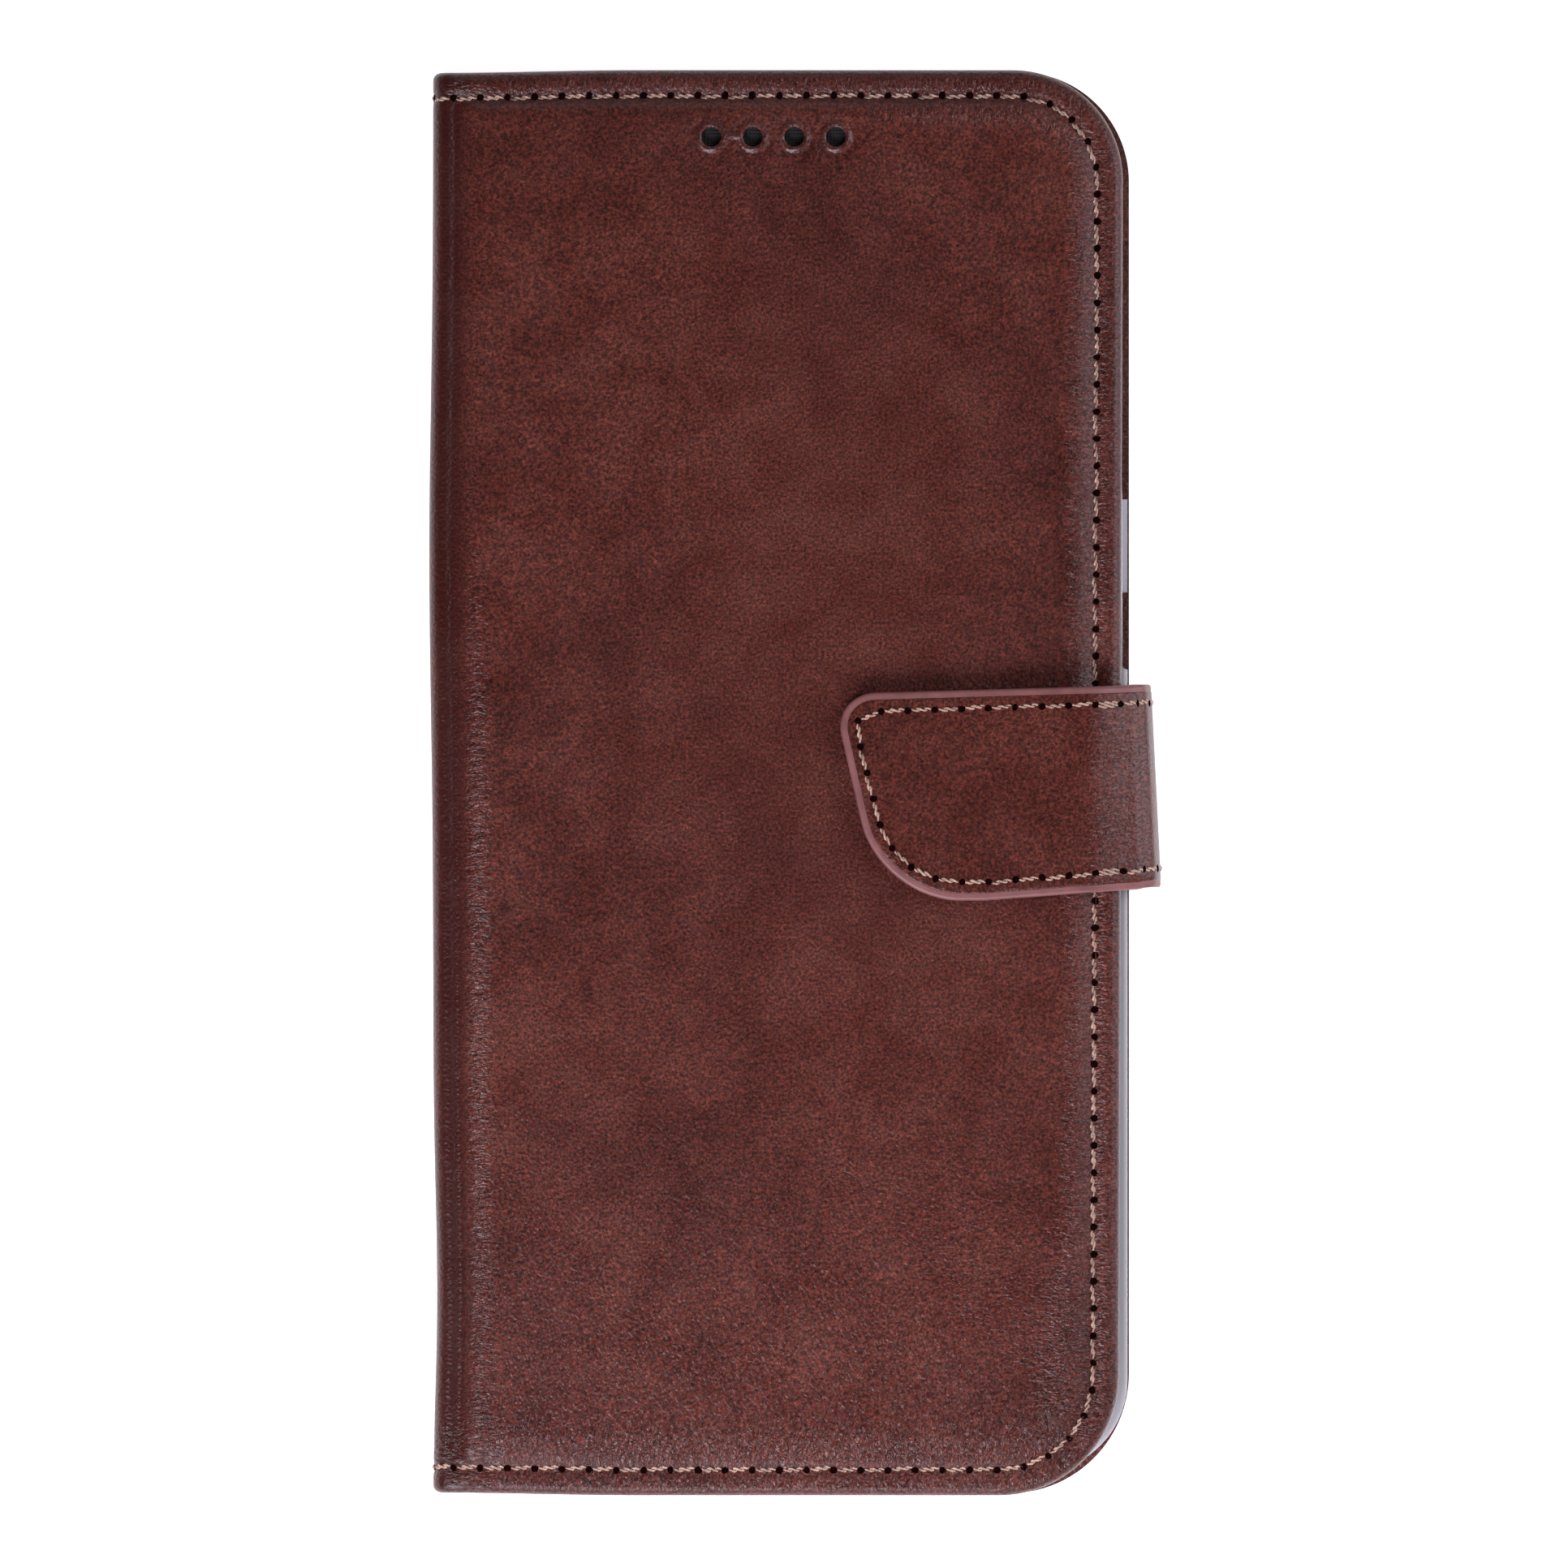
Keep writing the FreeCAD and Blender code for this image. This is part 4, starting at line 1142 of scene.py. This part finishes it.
class WALLET_OT_linings(bpy.types.Operator):
    """Make the linings of both covers, which run round the inside of the spine"""

    bl_idname = "wallet_case.linings"
    bl_label = "Linings"

    def execute(self, context):
        s = sizes()
        for side, face, edge_low, edge_high, seam in (
            ("front", FRONT_FACE, s.front_edge_bottom, s.front_edge_top, s.front_seam),
            ("back", 0.0, EDGE_X, EDGE_X, s.back_seam),
        ):
            start = flat_start(face)
            depth = FRONT_FACE - FRONT_INSIDE if side == "front" else BACK_INSIDE
            corners = cover_corners(edge_low, edge_high, s.rim, start - 1 * MM)
            bm, _, _ = blank(corners, depth + 0.02 * MM, s.lining, 0.2 * MM, steps=2)
            trim(bm, start, upper=False)
            if side == "back":
                bore(bm, [window_corners()])
            else:
                bore(bm, [round_corners(x, y, s.sound_hole) for x, y in hole_places()])
            roll_end = SPINE_X + s.roll_radius
            xs = steps_between(start + 1 * MM, roll_end - 4 * MM, 1.2 * MM)
            xs += steps_between(roll_end - 4 * MM, roll_end + 5 * MM, 0.35 * MM)
            xs += steps_between(roll_end + 5 * MM, edge_low - 4 * MM, 4 * MM)
            xs += steps_between(edge_low - 4 * MM, edge_low - 1.5 * MM, 0.4 * MM)
            ys = steps_between(-HALF + 1.5 * MM, -HALF + 4.5 * MM, 0.4 * MM)
            ys += steps_between(-HALF + 4.5 * MM, HALF - 4.5 * MM, 4 * MM)
            ys += steps_between(HALF - 4.5 * MM, HALF - 1.5 * MM, 0.4 * MM)
            cut_across(bm, xs, ys)
            rule = front_edge if side == "front" else back_edge
            rise(bm, lining_height(rule, seam), 0.1 * MM)
            place = under_side(front_place if side == "front" else back_place)
            piece = finish_piece(f"{side}_lining_sheet", bm, lining_leather(), place, side == "front")
            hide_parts(f"{side}_lining", *(["spine_lining"] if side == "front" else []))
            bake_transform(piece)
        return {"FINISHED"}


class WALLET_OT_pockets(bpy.types.Operator):
    """Make the cash pocket and the three card pockets inside the front cover"""

    bl_idname = "wallet_case.pockets"
    bl_label = "Pockets"

    def execute(self, context):
        s = sizes()
        place = under_side(wrap(SPINE_X, FRONT_FACE, -1, 1, s.roll_radius))
        for node in ("cash_pocket_panel", "card_pocket_panel_1", "card_pocket_panel_2", "card_pocket_panel_3"):
            lo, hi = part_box(node)
            corners = rectangle(lo.x, lo.y, hi.x, hi.y, 3 * MM)
            top = FRONT_FACE - lo.z
            bm, _, _ = blank(corners, top, hi.z - lo.z, 0.2 * MM, steps=3)
            xs = steps_between(lo.x + 0.5 * MM, hi.x - 0.5 * MM, 2.2 * MM)
            ys = steps_between(lo.y + 0.5 * MM, hi.y - 4 * MM, 3.5 * MM)
            ys += steps_between(hi.y - 4 * MM, hi.y - 0.3 * MM, 0.3 * MM)
            cut_across(bm, xs, ys)
            edge = hi.y

            def creased(u, y, edge=edge):
                # A line pressed with a hot iron 1.5 mm under the pocket's mouth.
                return -0.12 * MM * ridge(y, edge - 1.5 * MM, 0.28 * MM)

            rise(bm, creased, 0.05 * MM)
            skin = coated_leather("coated_leather_inside", (11, 37, 60), 1.05)
            piece = finish_piece(node.replace("_panel", ""), bm, skin, place, True)
            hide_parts(node)
            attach(piece, "front")
        return {"FINISHED"}


def pocket_lines():
    """Seam lines that hold the card pockets down, taken from the pockets' own boxes."""
    inset = 1.6 * MM
    low3, high3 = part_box("card_pocket_panel_3")
    bottom = low3.y + inset
    left, right = low3.x + inset, high3.x - inset
    end = high3.y - 3 * MM
    lines = [(2, rounded_line([(left, end, 0), (left, bottom, 2 * MM), (right, bottom, 2 * MM), (right, end, 0)]))]
    for number, node in ((1, "card_pocket_panel_2"), (0, "card_pocket_panel_1")):
        _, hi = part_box(node)
        for x in (left, right):
            lines.append((number, np.array([(x, hi.y - 13.4 * MM), (x, hi.y - 3 * MM)])))
    return lines


class WALLET_OT_seams(bpy.types.Operator):
    """Sew the covers, the spine's ends and the pockets"""

    bl_idname = "wallet_case.seams"
    bl_label = "Seams"

    def execute(self, context):
        s = sizes()
        front_start, back_start = flat_start(FRONT_FACE), flat_start(0.0)
        i = s.front_seam
        line = rounded_line(cover_corners(s.front_edge_bottom, s.front_edge_top, i, front_start + 0.8 * MM))
        pieces = sew("front_outer_seam", [line], front_height, front_place, False, front_fold(), seed=3)
        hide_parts("front_seam_thread", "spine_seam_thread")
        inner = rounded_line(cover_corners(s.front_edge_bottom, s.front_edge_top, i, front_start + 3 * MM))
        inner_depth = FRONT_FACE - FRONT_INSIDE + 0.02 * MM
        rule, place = lining_height(front_edge, i), under_side(front_place)
        sew("front_inner_seam", [inner], rule, place, True, front_fold(), level=inner_depth, seed=4)

        i = s.back_seam
        line = rounded_line(cover_corners(EDGE_X, EDGE_X, i, back_start + 0.8 * MM))

        def sunk(u, y):
            return back_height(u, y) - 0.06 * MM

        pieces = sew("back_outer_seam", [line], sunk, back_place, True, back_fold(), seed=5)
        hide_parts("back_seam_thread")
        inner = rounded_line(cover_corners(EDGE_X, EDGE_X, i, back_start + 3 * MM))
        rule = lining_height(back_edge, i)
        place, depth = under_side(back_place), BACK_INSIDE + 0.02 * MM
        sew("back_inner_seam", [inner], rule, place, False, back_fold(), level=depth, seed=6)

        place = under_side(wrap(SPINE_X, FRONT_FACE, -1, 1, s.roll_radius))
        pieces = []
        for number in (0, 1, 2):
            level = FRONT_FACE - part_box(f"card_pocket_panel_{number + 1}")[0].z
            lines = [line for index, line in pocket_lines() if index == number]
            name = f"card_pocket_{number + 1}_seam"
            pieces += sew(name, lines, lambda u, y: 0 * u, place, True, "front", level=level, seed=7 + number)
        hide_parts("pocket_seam_thread")
        return {"FINISHED"}


def strap_bend_upper():
    corner = Vector((STRAP_X, 0, STRAP_HIGH))
    way = Vector((-1, 0, 1)) * 1.6 * MM
    return ("strap_side", "strap_tab", corner - way, corner + way)


def strap_bend_lower():
    corner = Vector((STRAP_X, 0, STRAP_LOW))
    way = Vector((1, 0, 1)) * 1.6 * MM
    return ("back", "strap_side", corner - way, corner + way)


def strap_ends():
    """Flat places where the upper strap ends at the side's middle, and the lower one does."""
    s = sizes()
    arc = s.strap_bend * math.pi / 2
    upper = STRAP_X - s.strap_bend + arc + (STRAP_HIGH - s.strap_bend - STRAP_MIDDLE)
    lower = STRAP_X - s.strap_bend + arc + (STRAP_MIDDLE - STRAP_LOW - s.strap_bend)
    return upper, lower


def tab_corners(inset, right):
    """The tab's outline, moved in by an inset, running on past the bend to the right."""
    heel = TAB_X + 4.56 * MM
    points = [
        (right, STRAP_BOTTOM, 0),
        (right, STRAP_TOP, 0),
        (STRAP_X + 1 * MM, STRAP_TOP, 0),
        (TAB_X - 1.04 * MM, STRAP_TOP - 1.1 * MM, 4.2 * MM),
        (heel, TAB_BOTTOM, 12 * MM),
        (heel + 12.4 * MM, TAB_BOTTOM, 0),
        (STRAP_X + 1 * MM, STRAP_BOTTOM, 0),
    ]
    if inset <= 0:
        return points
    moved = []
    for index, (x, y, radius) in enumerate(points):
        here = Vector((x, y))
        before = (Vector(points[index - 1][:2]) - here).normalized()
        after = (Vector(points[(index + 1) % len(points)][:2]) - here).normalized()
        first, second = Vector((before.y, -before.x)), Vector((-after.y, after.x))
        inward = (first + second).normalized()
        step = inset / max(inward.dot(first), 0.2)
        moved.append((x + inward.x * step, y + inward.y * step, max(radius - inset, 0)))
    moved[0] = (right, moved[0][1], 0)
    moved[1] = (right, moved[1][1], 0)
    return moved


def edge_frame(corners, thickness, reach):
    """A painted rim round the layers' edge: rounded outside, open in the middle."""
    bm, bottom, upper = blank(corners, 0.0, thickness, 0.4 * MM, under=0.4 * MM, steps=4)
    bmesh.ops.inset_region(bm, faces=[upper], thickness=reach, use_even_offset=True, use_boundary=True)
    bmesh.ops.inset_region(bm, faces=[bottom], thickness=reach + 0.25 * MM, use_even_offset=True, use_boundary=True)
    loops = upper.edges[:] + bottom.edges[:]
    bmesh.ops.delete(bm, geom=[upper, bottom], context="FACES_ONLY")
    bmesh.ops.bridge_loops(bm, edges=loops)
    return bm


def strap_cuts(start, end):
    bend = STRAP_X - 4 * MM
    xs = steps_between(start + 0.6 * MM, bend, 1.1 * MM) + steps_between(bend, STRAP_X + 5 * MM, 0.35 * MM)
    xs += steps_between(STRAP_X + 5 * MM, end, 1.4 * MM)
    ys = steps_between(TAB_BOTTOM + 1 * MM, STRAP_TOP - 1 * MM, 1.1 * MM)
    return xs, ys


def tab_height(u, y):
    """The tab's leather: a soft puff and the ripple where it starts to bend."""
    along = np.clip(1 - ((u - 22 * MM) / (18 * MM)) ** 2, 0, 1)
    across = np.clip(1 - ((y + 1 * MM) / (10 * MM)) ** 2, 0, 1)
    puff = 0.12 * MM * along * across
    ripple = 0.05 * MM * ridge(u, STRAP_X - 5.2 * MM, 2.0 * MM) * np.sin(y * 2100 + 3 * np.sin(u * 900))
    return puff + ripple


def tab_marks():
    def crinkle(u, y):
        return np.clip(0.05 + 0.62 * ridge(u, STRAP_X - 5.6 * MM, 2.0 * MM), 0, 1)

    # No painted shade on the strap.
    def fold(u, y):
        return 0 * u

    def sideways(u, y):
        return 1 + 0 * u

    return {"crinkle": crinkle, "fold": fold, "sideways": sideways}


def cut_area(corners, end):
    """Area of a flat outline that is cut off at end."""
    bm = bmesh.new()
    cut_outline(bm, corners, 0.0)
    bmesh.ops.bisect_plane(
        bm, geom=everything(bm), dist=1e-7, plane_co=(end, 0, 0), plane_no=(1, 0, 0), clear_outer=True
    )
    area = sum(face.calc_area() for face in bm.faces)
    bm.free()
    return area


class WALLET_OT_strap(bpy.types.Operator):
    """Make the closing strap: tongue, side, tab, painted edges and stitching"""

    bl_idname = "wallet_case.strap"
    bl_label = "Strap"

    def execute(self, context):
        s = sizes()
        upper_end, lower_end = strap_ends()
        far = upper_end + RUN_ON
        full = STRAP_HIGH - TAB_LOW
        paint_width = s.painted_edge
        leather = coated_leather("coated_leather_strap", (5, 61, 21), 1.0, 0.03)

        # Upper strap: from the middle of the side, over the bend, to the tab's tip.
        xs, ys = strap_cuts(TAB_X, upper_end)
        bm = edge_frame(tab_corners(0, far), full, 1.0 * MM)
        trim(bm, upper_end)
        cut_across(bm, xs, [])
        rim = finish_piece("strap_tab_painted_edge", bm, edge_paint(), strap_upper_place)
        bm, _, _ = blank(tab_corners(paint_width - 0.12 * MM, far), 0.1 * MM, s.leather + 0.1 * MM, 0.16 * MM, steps=3)
        trim(bm, upper_end)
        cut_across(bm, xs, ys)
        rise(bm, tab_height, 0.16 * MM)
        outer = finish_piece("strap_tab_leather", bm, leather, strap_upper_place, marks=tab_marks())
        bm, _, _ = blank(tab_corners(paint_width, far), full + 0.02 * MM, 0.7 * MM, 0.15 * MM, steps=2)
        trim(bm, upper_end)
        cut_across(bm, xs, ys[::3])
        inner = finish_piece("strap_tab_lining_sheet", bm, lining_leather(), under_side(strap_upper_place), True)
        bm, _, _ = blank(tab_corners(0.35 * MM, far), -0.72 * MM, 1.1 * MM, 0.1 * MM, steps=1)
        trim(bm, STRAP_X - 1.2 * MM)
        cut_across(bm, xs, [])
        fibre = plain_finish("leather_fibre_core", "#5a3c30", "#74503f", 0.7, 0.85)
        core = finish_piece("strap_tab_core_layer", bm, fibre, strap_upper_place)
        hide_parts("strap_tab_core")
        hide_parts("strap_side_outer")
        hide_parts("strap_tab_outer")
        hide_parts("strap_tab_lining", "strap_side_lining")
        slots = ("leather_brown", "leather_brown", "leather_lining", "board")
        for piece, slot in zip((rim, outer, inner, core), slots):
            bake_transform(piece)
        for piece, inset in ((outer, paint_width - 0.12 * MM), (inner, paint_width)):
            cut_area(tab_corners(inset, far), upper_end)

        # Lower strap: from the middle of the side, round under the back cover and in between its layers.
        def inset_box(amount):
            return [
                (ROOT_X + amount, STRAP_BOTTOM + amount, 1 * MM),
                (lower_end + RUN_ON, STRAP_BOTTOM + amount, 0),
                (lower_end + RUN_ON, STRAP_TOP - amount, 0),
                (ROOT_X + amount, STRAP_TOP - amount, 1 * MM),
            ]

        xs, ys = strap_cuts(ROOT_X, lower_end)
        bm = edge_frame(inset_box(0), 1.5 * MM, 0.5 * MM)
        trim(bm, lower_end)
        cut_across(bm, xs, [])
        rim = finish_piece("strap_side_painted_edge", bm, edge_paint(), strap_lower_place, True)
        bm, _, _ = blank(inset_box(paint_width - 0.12 * MM), 0.05 * MM, s.leather, 0.16 * MM, steps=3)
        trim(bm, lower_end)
        cut_across(bm, xs, ys)
        outer = finish_piece("strap_side_leather", bm, leather, strap_lower_place, True, tab_marks())
        bm, _, _ = blank(inset_box(paint_width), 1.52 * MM, 0.7 * MM, 0.15 * MM, steps=2)
        trim(bm, lower_end)
        cut_across(bm, xs, ys[::3])
        inner = finish_piece("strap_side_lining_sheet", bm, lining_leather(), under_side(strap_lower_place), False)
        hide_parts("strap_root")
        for piece, slot in ((rim, "leather_brown"), (outer, "leather_brown"), (inner, "leather_lining")):
            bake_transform(piece)

        # Stitching round the tab and up both sides.
        seam = s.strap_seam
        heel = TAB_X + 4.56 * MM
        line = rounded_line(
            [
                (upper_end - 0.8 * MM, STRAP_BOTTOM + seam, 0),
                (STRAP_X, STRAP_BOTTOM + seam, 0),
                (heel + 12.4 * MM, TAB_BOTTOM + seam, 0),
                (heel + 1.7 * MM, TAB_BOTTOM + seam, 9.8 * MM),
                (TAB_X + 1.4 * MM, STRAP_TOP - 1.1 * MM - seam, 1.8 * MM),
                (STRAP_X, STRAP_TOP - seam, 0),
                (upper_end - 0.8 * MM, STRAP_TOP - seam, 0),
            ]
        )
        doubled = (36.5 * MM, 40.5 * MM)
        pieces = sew(
            "strap_tab_seam",
            [line],
            lambda u, y: tab_height(u, y) + 0.06 * MM,
            strap_upper_place,
            False,
            strap_bend_upper(),
            seed=11,
            doubled=doubled,
        )
        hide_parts("strap_tab_thread")
        lines = [
            np.array([(STRAP_X + 2 * MM, y), (lower_end - 0.8 * MM, y)])
            for y in (STRAP_BOTTOM + seam, STRAP_TOP - seam)
        ]
        pieces = sew(
            "strap_side_seam",
            lines,
            lambda u, y: 0.03 * MM + 0 * u,
            strap_lower_place,
            True,
            strap_bend_lower(),
            seed=12,
        )
        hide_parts("strap_side_thread")
        return {"FINISHED"}


class WALLET_OT_inner_parts(bpy.types.Operator):
    """Finish the tray, its keys, the boards, the mesh, the clasp plate and the magnets"""

    bl_idname = "wallet_case.inner_parts"
    bl_label = "Tray and Inner Parts"

    def execute(self, context):
        finishes = {
            "tray_power_key": clear_tray(),
            "tray_volume_key": clear_tray(),
            # Double-sided adhesive film: matt, a little cloudy.
            "tray_adhesive_pad": plain_finish("acrylic_adhesive_film", "#cfcabd", "#dedacd", 4.0, 0.5, 0.00002),
            # Grey bookbinder's board: pressed waste-paper fibre with darker flecks.
            "back_stiffener_board": plain_finish("grey_bookbinding_board", "#7d766c", "#a39c90", 0.8, 0.9),
            "front_stiffener_board": plain_finish("grey_bookbinding_board", "#7d766c", "#a39c90", 0.8, 0.9),
            "spine_stiffener_strip": plain_finish("grey_bookbinding_board", "#7d766c", "#a39c90", 0.8, 0.9),
            # Woven nylon dust mesh, 0.25 mm openings drawn at 0.35 mm so that they show.
            "speaker_mesh": plain_finish("woven_nylon_mesh", "#050404", "#2a2422", 0.42, 0.88, 0.00016, kind="weave"),
            # Zinc-plated steel, rolled: faint streaks.
            "clasp_keeper_plate": plain_finish("zinc_plated_steel", "#9a9ca0", "#c4c6ca", 1.6, 0.35, 0.00001, 1.0),
            # Nickel-plated neodymium: bright and smooth.
            "strap_magnets": plain_finish("nickel_plated_magnet", "#b4b2ac", "#d2d0ca", 3.0, 0.25, 0.00001, 1.0),
        }
        for node, finish in finishes.items():
            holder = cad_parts[node]
            holder.data.materials.clear()
            holder.data.materials.append(finish)

        # The tray is drawn in a little at its top right, where the cover hides it.
        bm = bmesh.new()
        bm.from_mesh(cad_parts["phone_tray"].data)
        bmesh.ops.remove_doubles(bm, verts=bm.verts[:], dist=0.01 * MM)

        def tucked(points):
            x, y, z = points.T
            share = ease(36 * MM, 39 * MM, x) * ease(33.9 * MM, 34.6 * MM, y)
            return np.stack([x - 0.75 * MM * share, y, z], 1)

        tray = finish_piece("clear_phone_tray", bm, clear_tray(), tucked, sharp=30)
        even = tray.modifiers.new("flat faces stay flat", "WEIGHTED_NORMAL")
        even.keep_sharp = True
        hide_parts("phone_tray")
        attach(tray, "back")
        return {"FINISHED"}


def soft_light(name, place, aim, size, power, tint):
    lamp = bpy.data.lights.new(name, "AREA")
    lamp.shape = "RECTANGLE"
    lamp.size, lamp.size_y = size
    lamp.energy = power
    lamp.color = tint
    holder = bpy.data.objects.new(name, lamp)
    holder.location = place
    way = Vector(aim) - Vector(place)
    holder.rotation_euler = way.to_track_quat("-Z", "Y").to_euler()
    holder.visible_camera = False
    bpy.context.scene.collection.objects.link(holder)
    return holder


class WALLET_OT_stage(bpy.types.Operator):
    """Set the pale floor, soft studio light and camera"""

    bl_idname = "wallet_case.stage"
    bl_label = "Stage"

    def execute(self, context):
        scene = context.scene
        bm = bmesh.new()
        bmesh.ops.create_grid(bm, x_segments=1, y_segments=1, size=9.0, matrix=Matrix.Translation((0, 0, -0.35 * MM)))
        made, tree, shader, where = new_material("white_paper_sweep")
        speck = add(tree, "ShaderNodeTexNoise", {"Vector": where, "Scale": 0.05, "Detail": 2.0})
        base = ramped(tree, speck.outputs[0], (0.3, paint("#f6f6f6")), (0.7, paint("#fafafa")))
        tree.links.new(base, shader.inputs["Base Color"])
        shader.inputs["Roughness"].default_value = 0.9
        shader.inputs["Specular IOR Level"].default_value = 0.1
        shader.inputs["Emission Color"].default_value = (1, 1, 1, 1)
        shader.inputs["Emission Strength"].default_value = 0.68
        floor = finish_piece("floor", bm, made)

        world = bpy.data.worlds.new("light_tent")
        scene.world = world
        world.use_nodes = True
        tree = world.node_tree
        tree.nodes.clear()
        out = add(tree, "ShaderNodeOutputWorld")
        where = add(tree, "ShaderNodeTexCoord")
        parts = add(tree, "ShaderNodeSeparateXYZ", {0: where.outputs["Generated"]})
        sky = add(
            tree,
            "ShaderNodeValToRGB",
            {0: parts.outputs["Z"]},
            ramp=[(0.0, paint("#f4f5fa")), (0.12, paint("#e8eaf2")), (0.5, paint("#8d8f98")), (0.85, paint("#4a4a4e"))],
        )
        back = add(tree, "ShaderNodeBackground", {"Color": sky.outputs[0], "Strength": 0.9 * LIGHT})
        tree.links.new(back.outputs[0], out.inputs[0])

        cool = (0.94, 0.91, 1.0)
        middle = (0, 0, 0.01)
        soft_light("front_softbox", (-0.15, -0.6, 0.5), (0, -0.03, 0.01), (0.6, 0.25), 8.0 * LIGHT, cool)
        soft_light("corner_softbox", (-0.13, -0.22, 0.3), (-0.02, -0.06, 0.01), (0.2, 0.1), 1.5 * LIGHT, cool)
        soft_light("right_softbox", (0.62, 0.12, 0.5), middle, (0.3, 0.8), 6.5 * LIGHT, cool)
        soft_light("rear_softbox", (0.1, 0.85, 0.75), middle, (0.9, 0.4), 2.0 * LIGHT, (1.0, 0.97, 0.94))

        lens = bpy.data.cameras.new("camera")
        lens.sensor_width = 36
        lens.lens = 1000
        lens.clip_end = 50
        holder = bpy.data.objects.new("camera", lens)
        field = 0.1852
        away = field * lens.lens / lens.sensor_width
        holder.location = (0.38 * MM, -0.14 * MM, 0.012 + away)
        scene.collection.objects.link(holder)
        scene.camera = holder
        scene.view_settings.view_transform = "Standard"
        return {"FINISHED"}


STEPS = (
    WALLET_OT_front_cover,
    WALLET_OT_back_cover,
    WALLET_OT_linings,
    WALLET_OT_pockets,
    WALLET_OT_seams,
    WALLET_OT_strap,
    WALLET_OT_inner_parts,
    WALLET_OT_stage,
)


class WALLET_PT_panel(bpy.types.Panel):
    """Lists the case's pieces in the order they are made"""

    bl_idname = "WALLET_PT_panel"
    bl_label = "Wallet Case"
    bl_space_type = "VIEW_3D"
    bl_region_type = "UI"
    bl_category = "Wallet Case"

    def draw(self, context):
        for step in STEPS:
            self.layout.operator(step.bl_idname)
        for group in (context.scene.wallet_sizes, context.scene.wallet_colours):
            box = self.layout.box()
            for name in group.__annotations__:
                box.prop(group, name)


CLASSES = (WalletSizes, WalletColours, *STEPS, WALLET_PT_panel)


def register():
    for item in CLASSES:
        bpy.utils.register_class(item)
    bpy.types.Scene.wallet_sizes = bpy.props.PointerProperty(type=WalletSizes)
    bpy.types.Scene.wallet_colours = bpy.props.PointerProperty(type=WalletColours)


def unregister():
    del bpy.types.Scene.wallet_colours
    del bpy.types.Scene.wallet_sizes
    for item in reversed(CLASSES):
        bpy.utils.unregister_class(item)


def main():
    register()
    for step in STEPS:
        group, name = step.bl_idname.split(".")
        getattr(getattr(bpy.ops, group), name)()


if __name__ == "__main__":
    main()
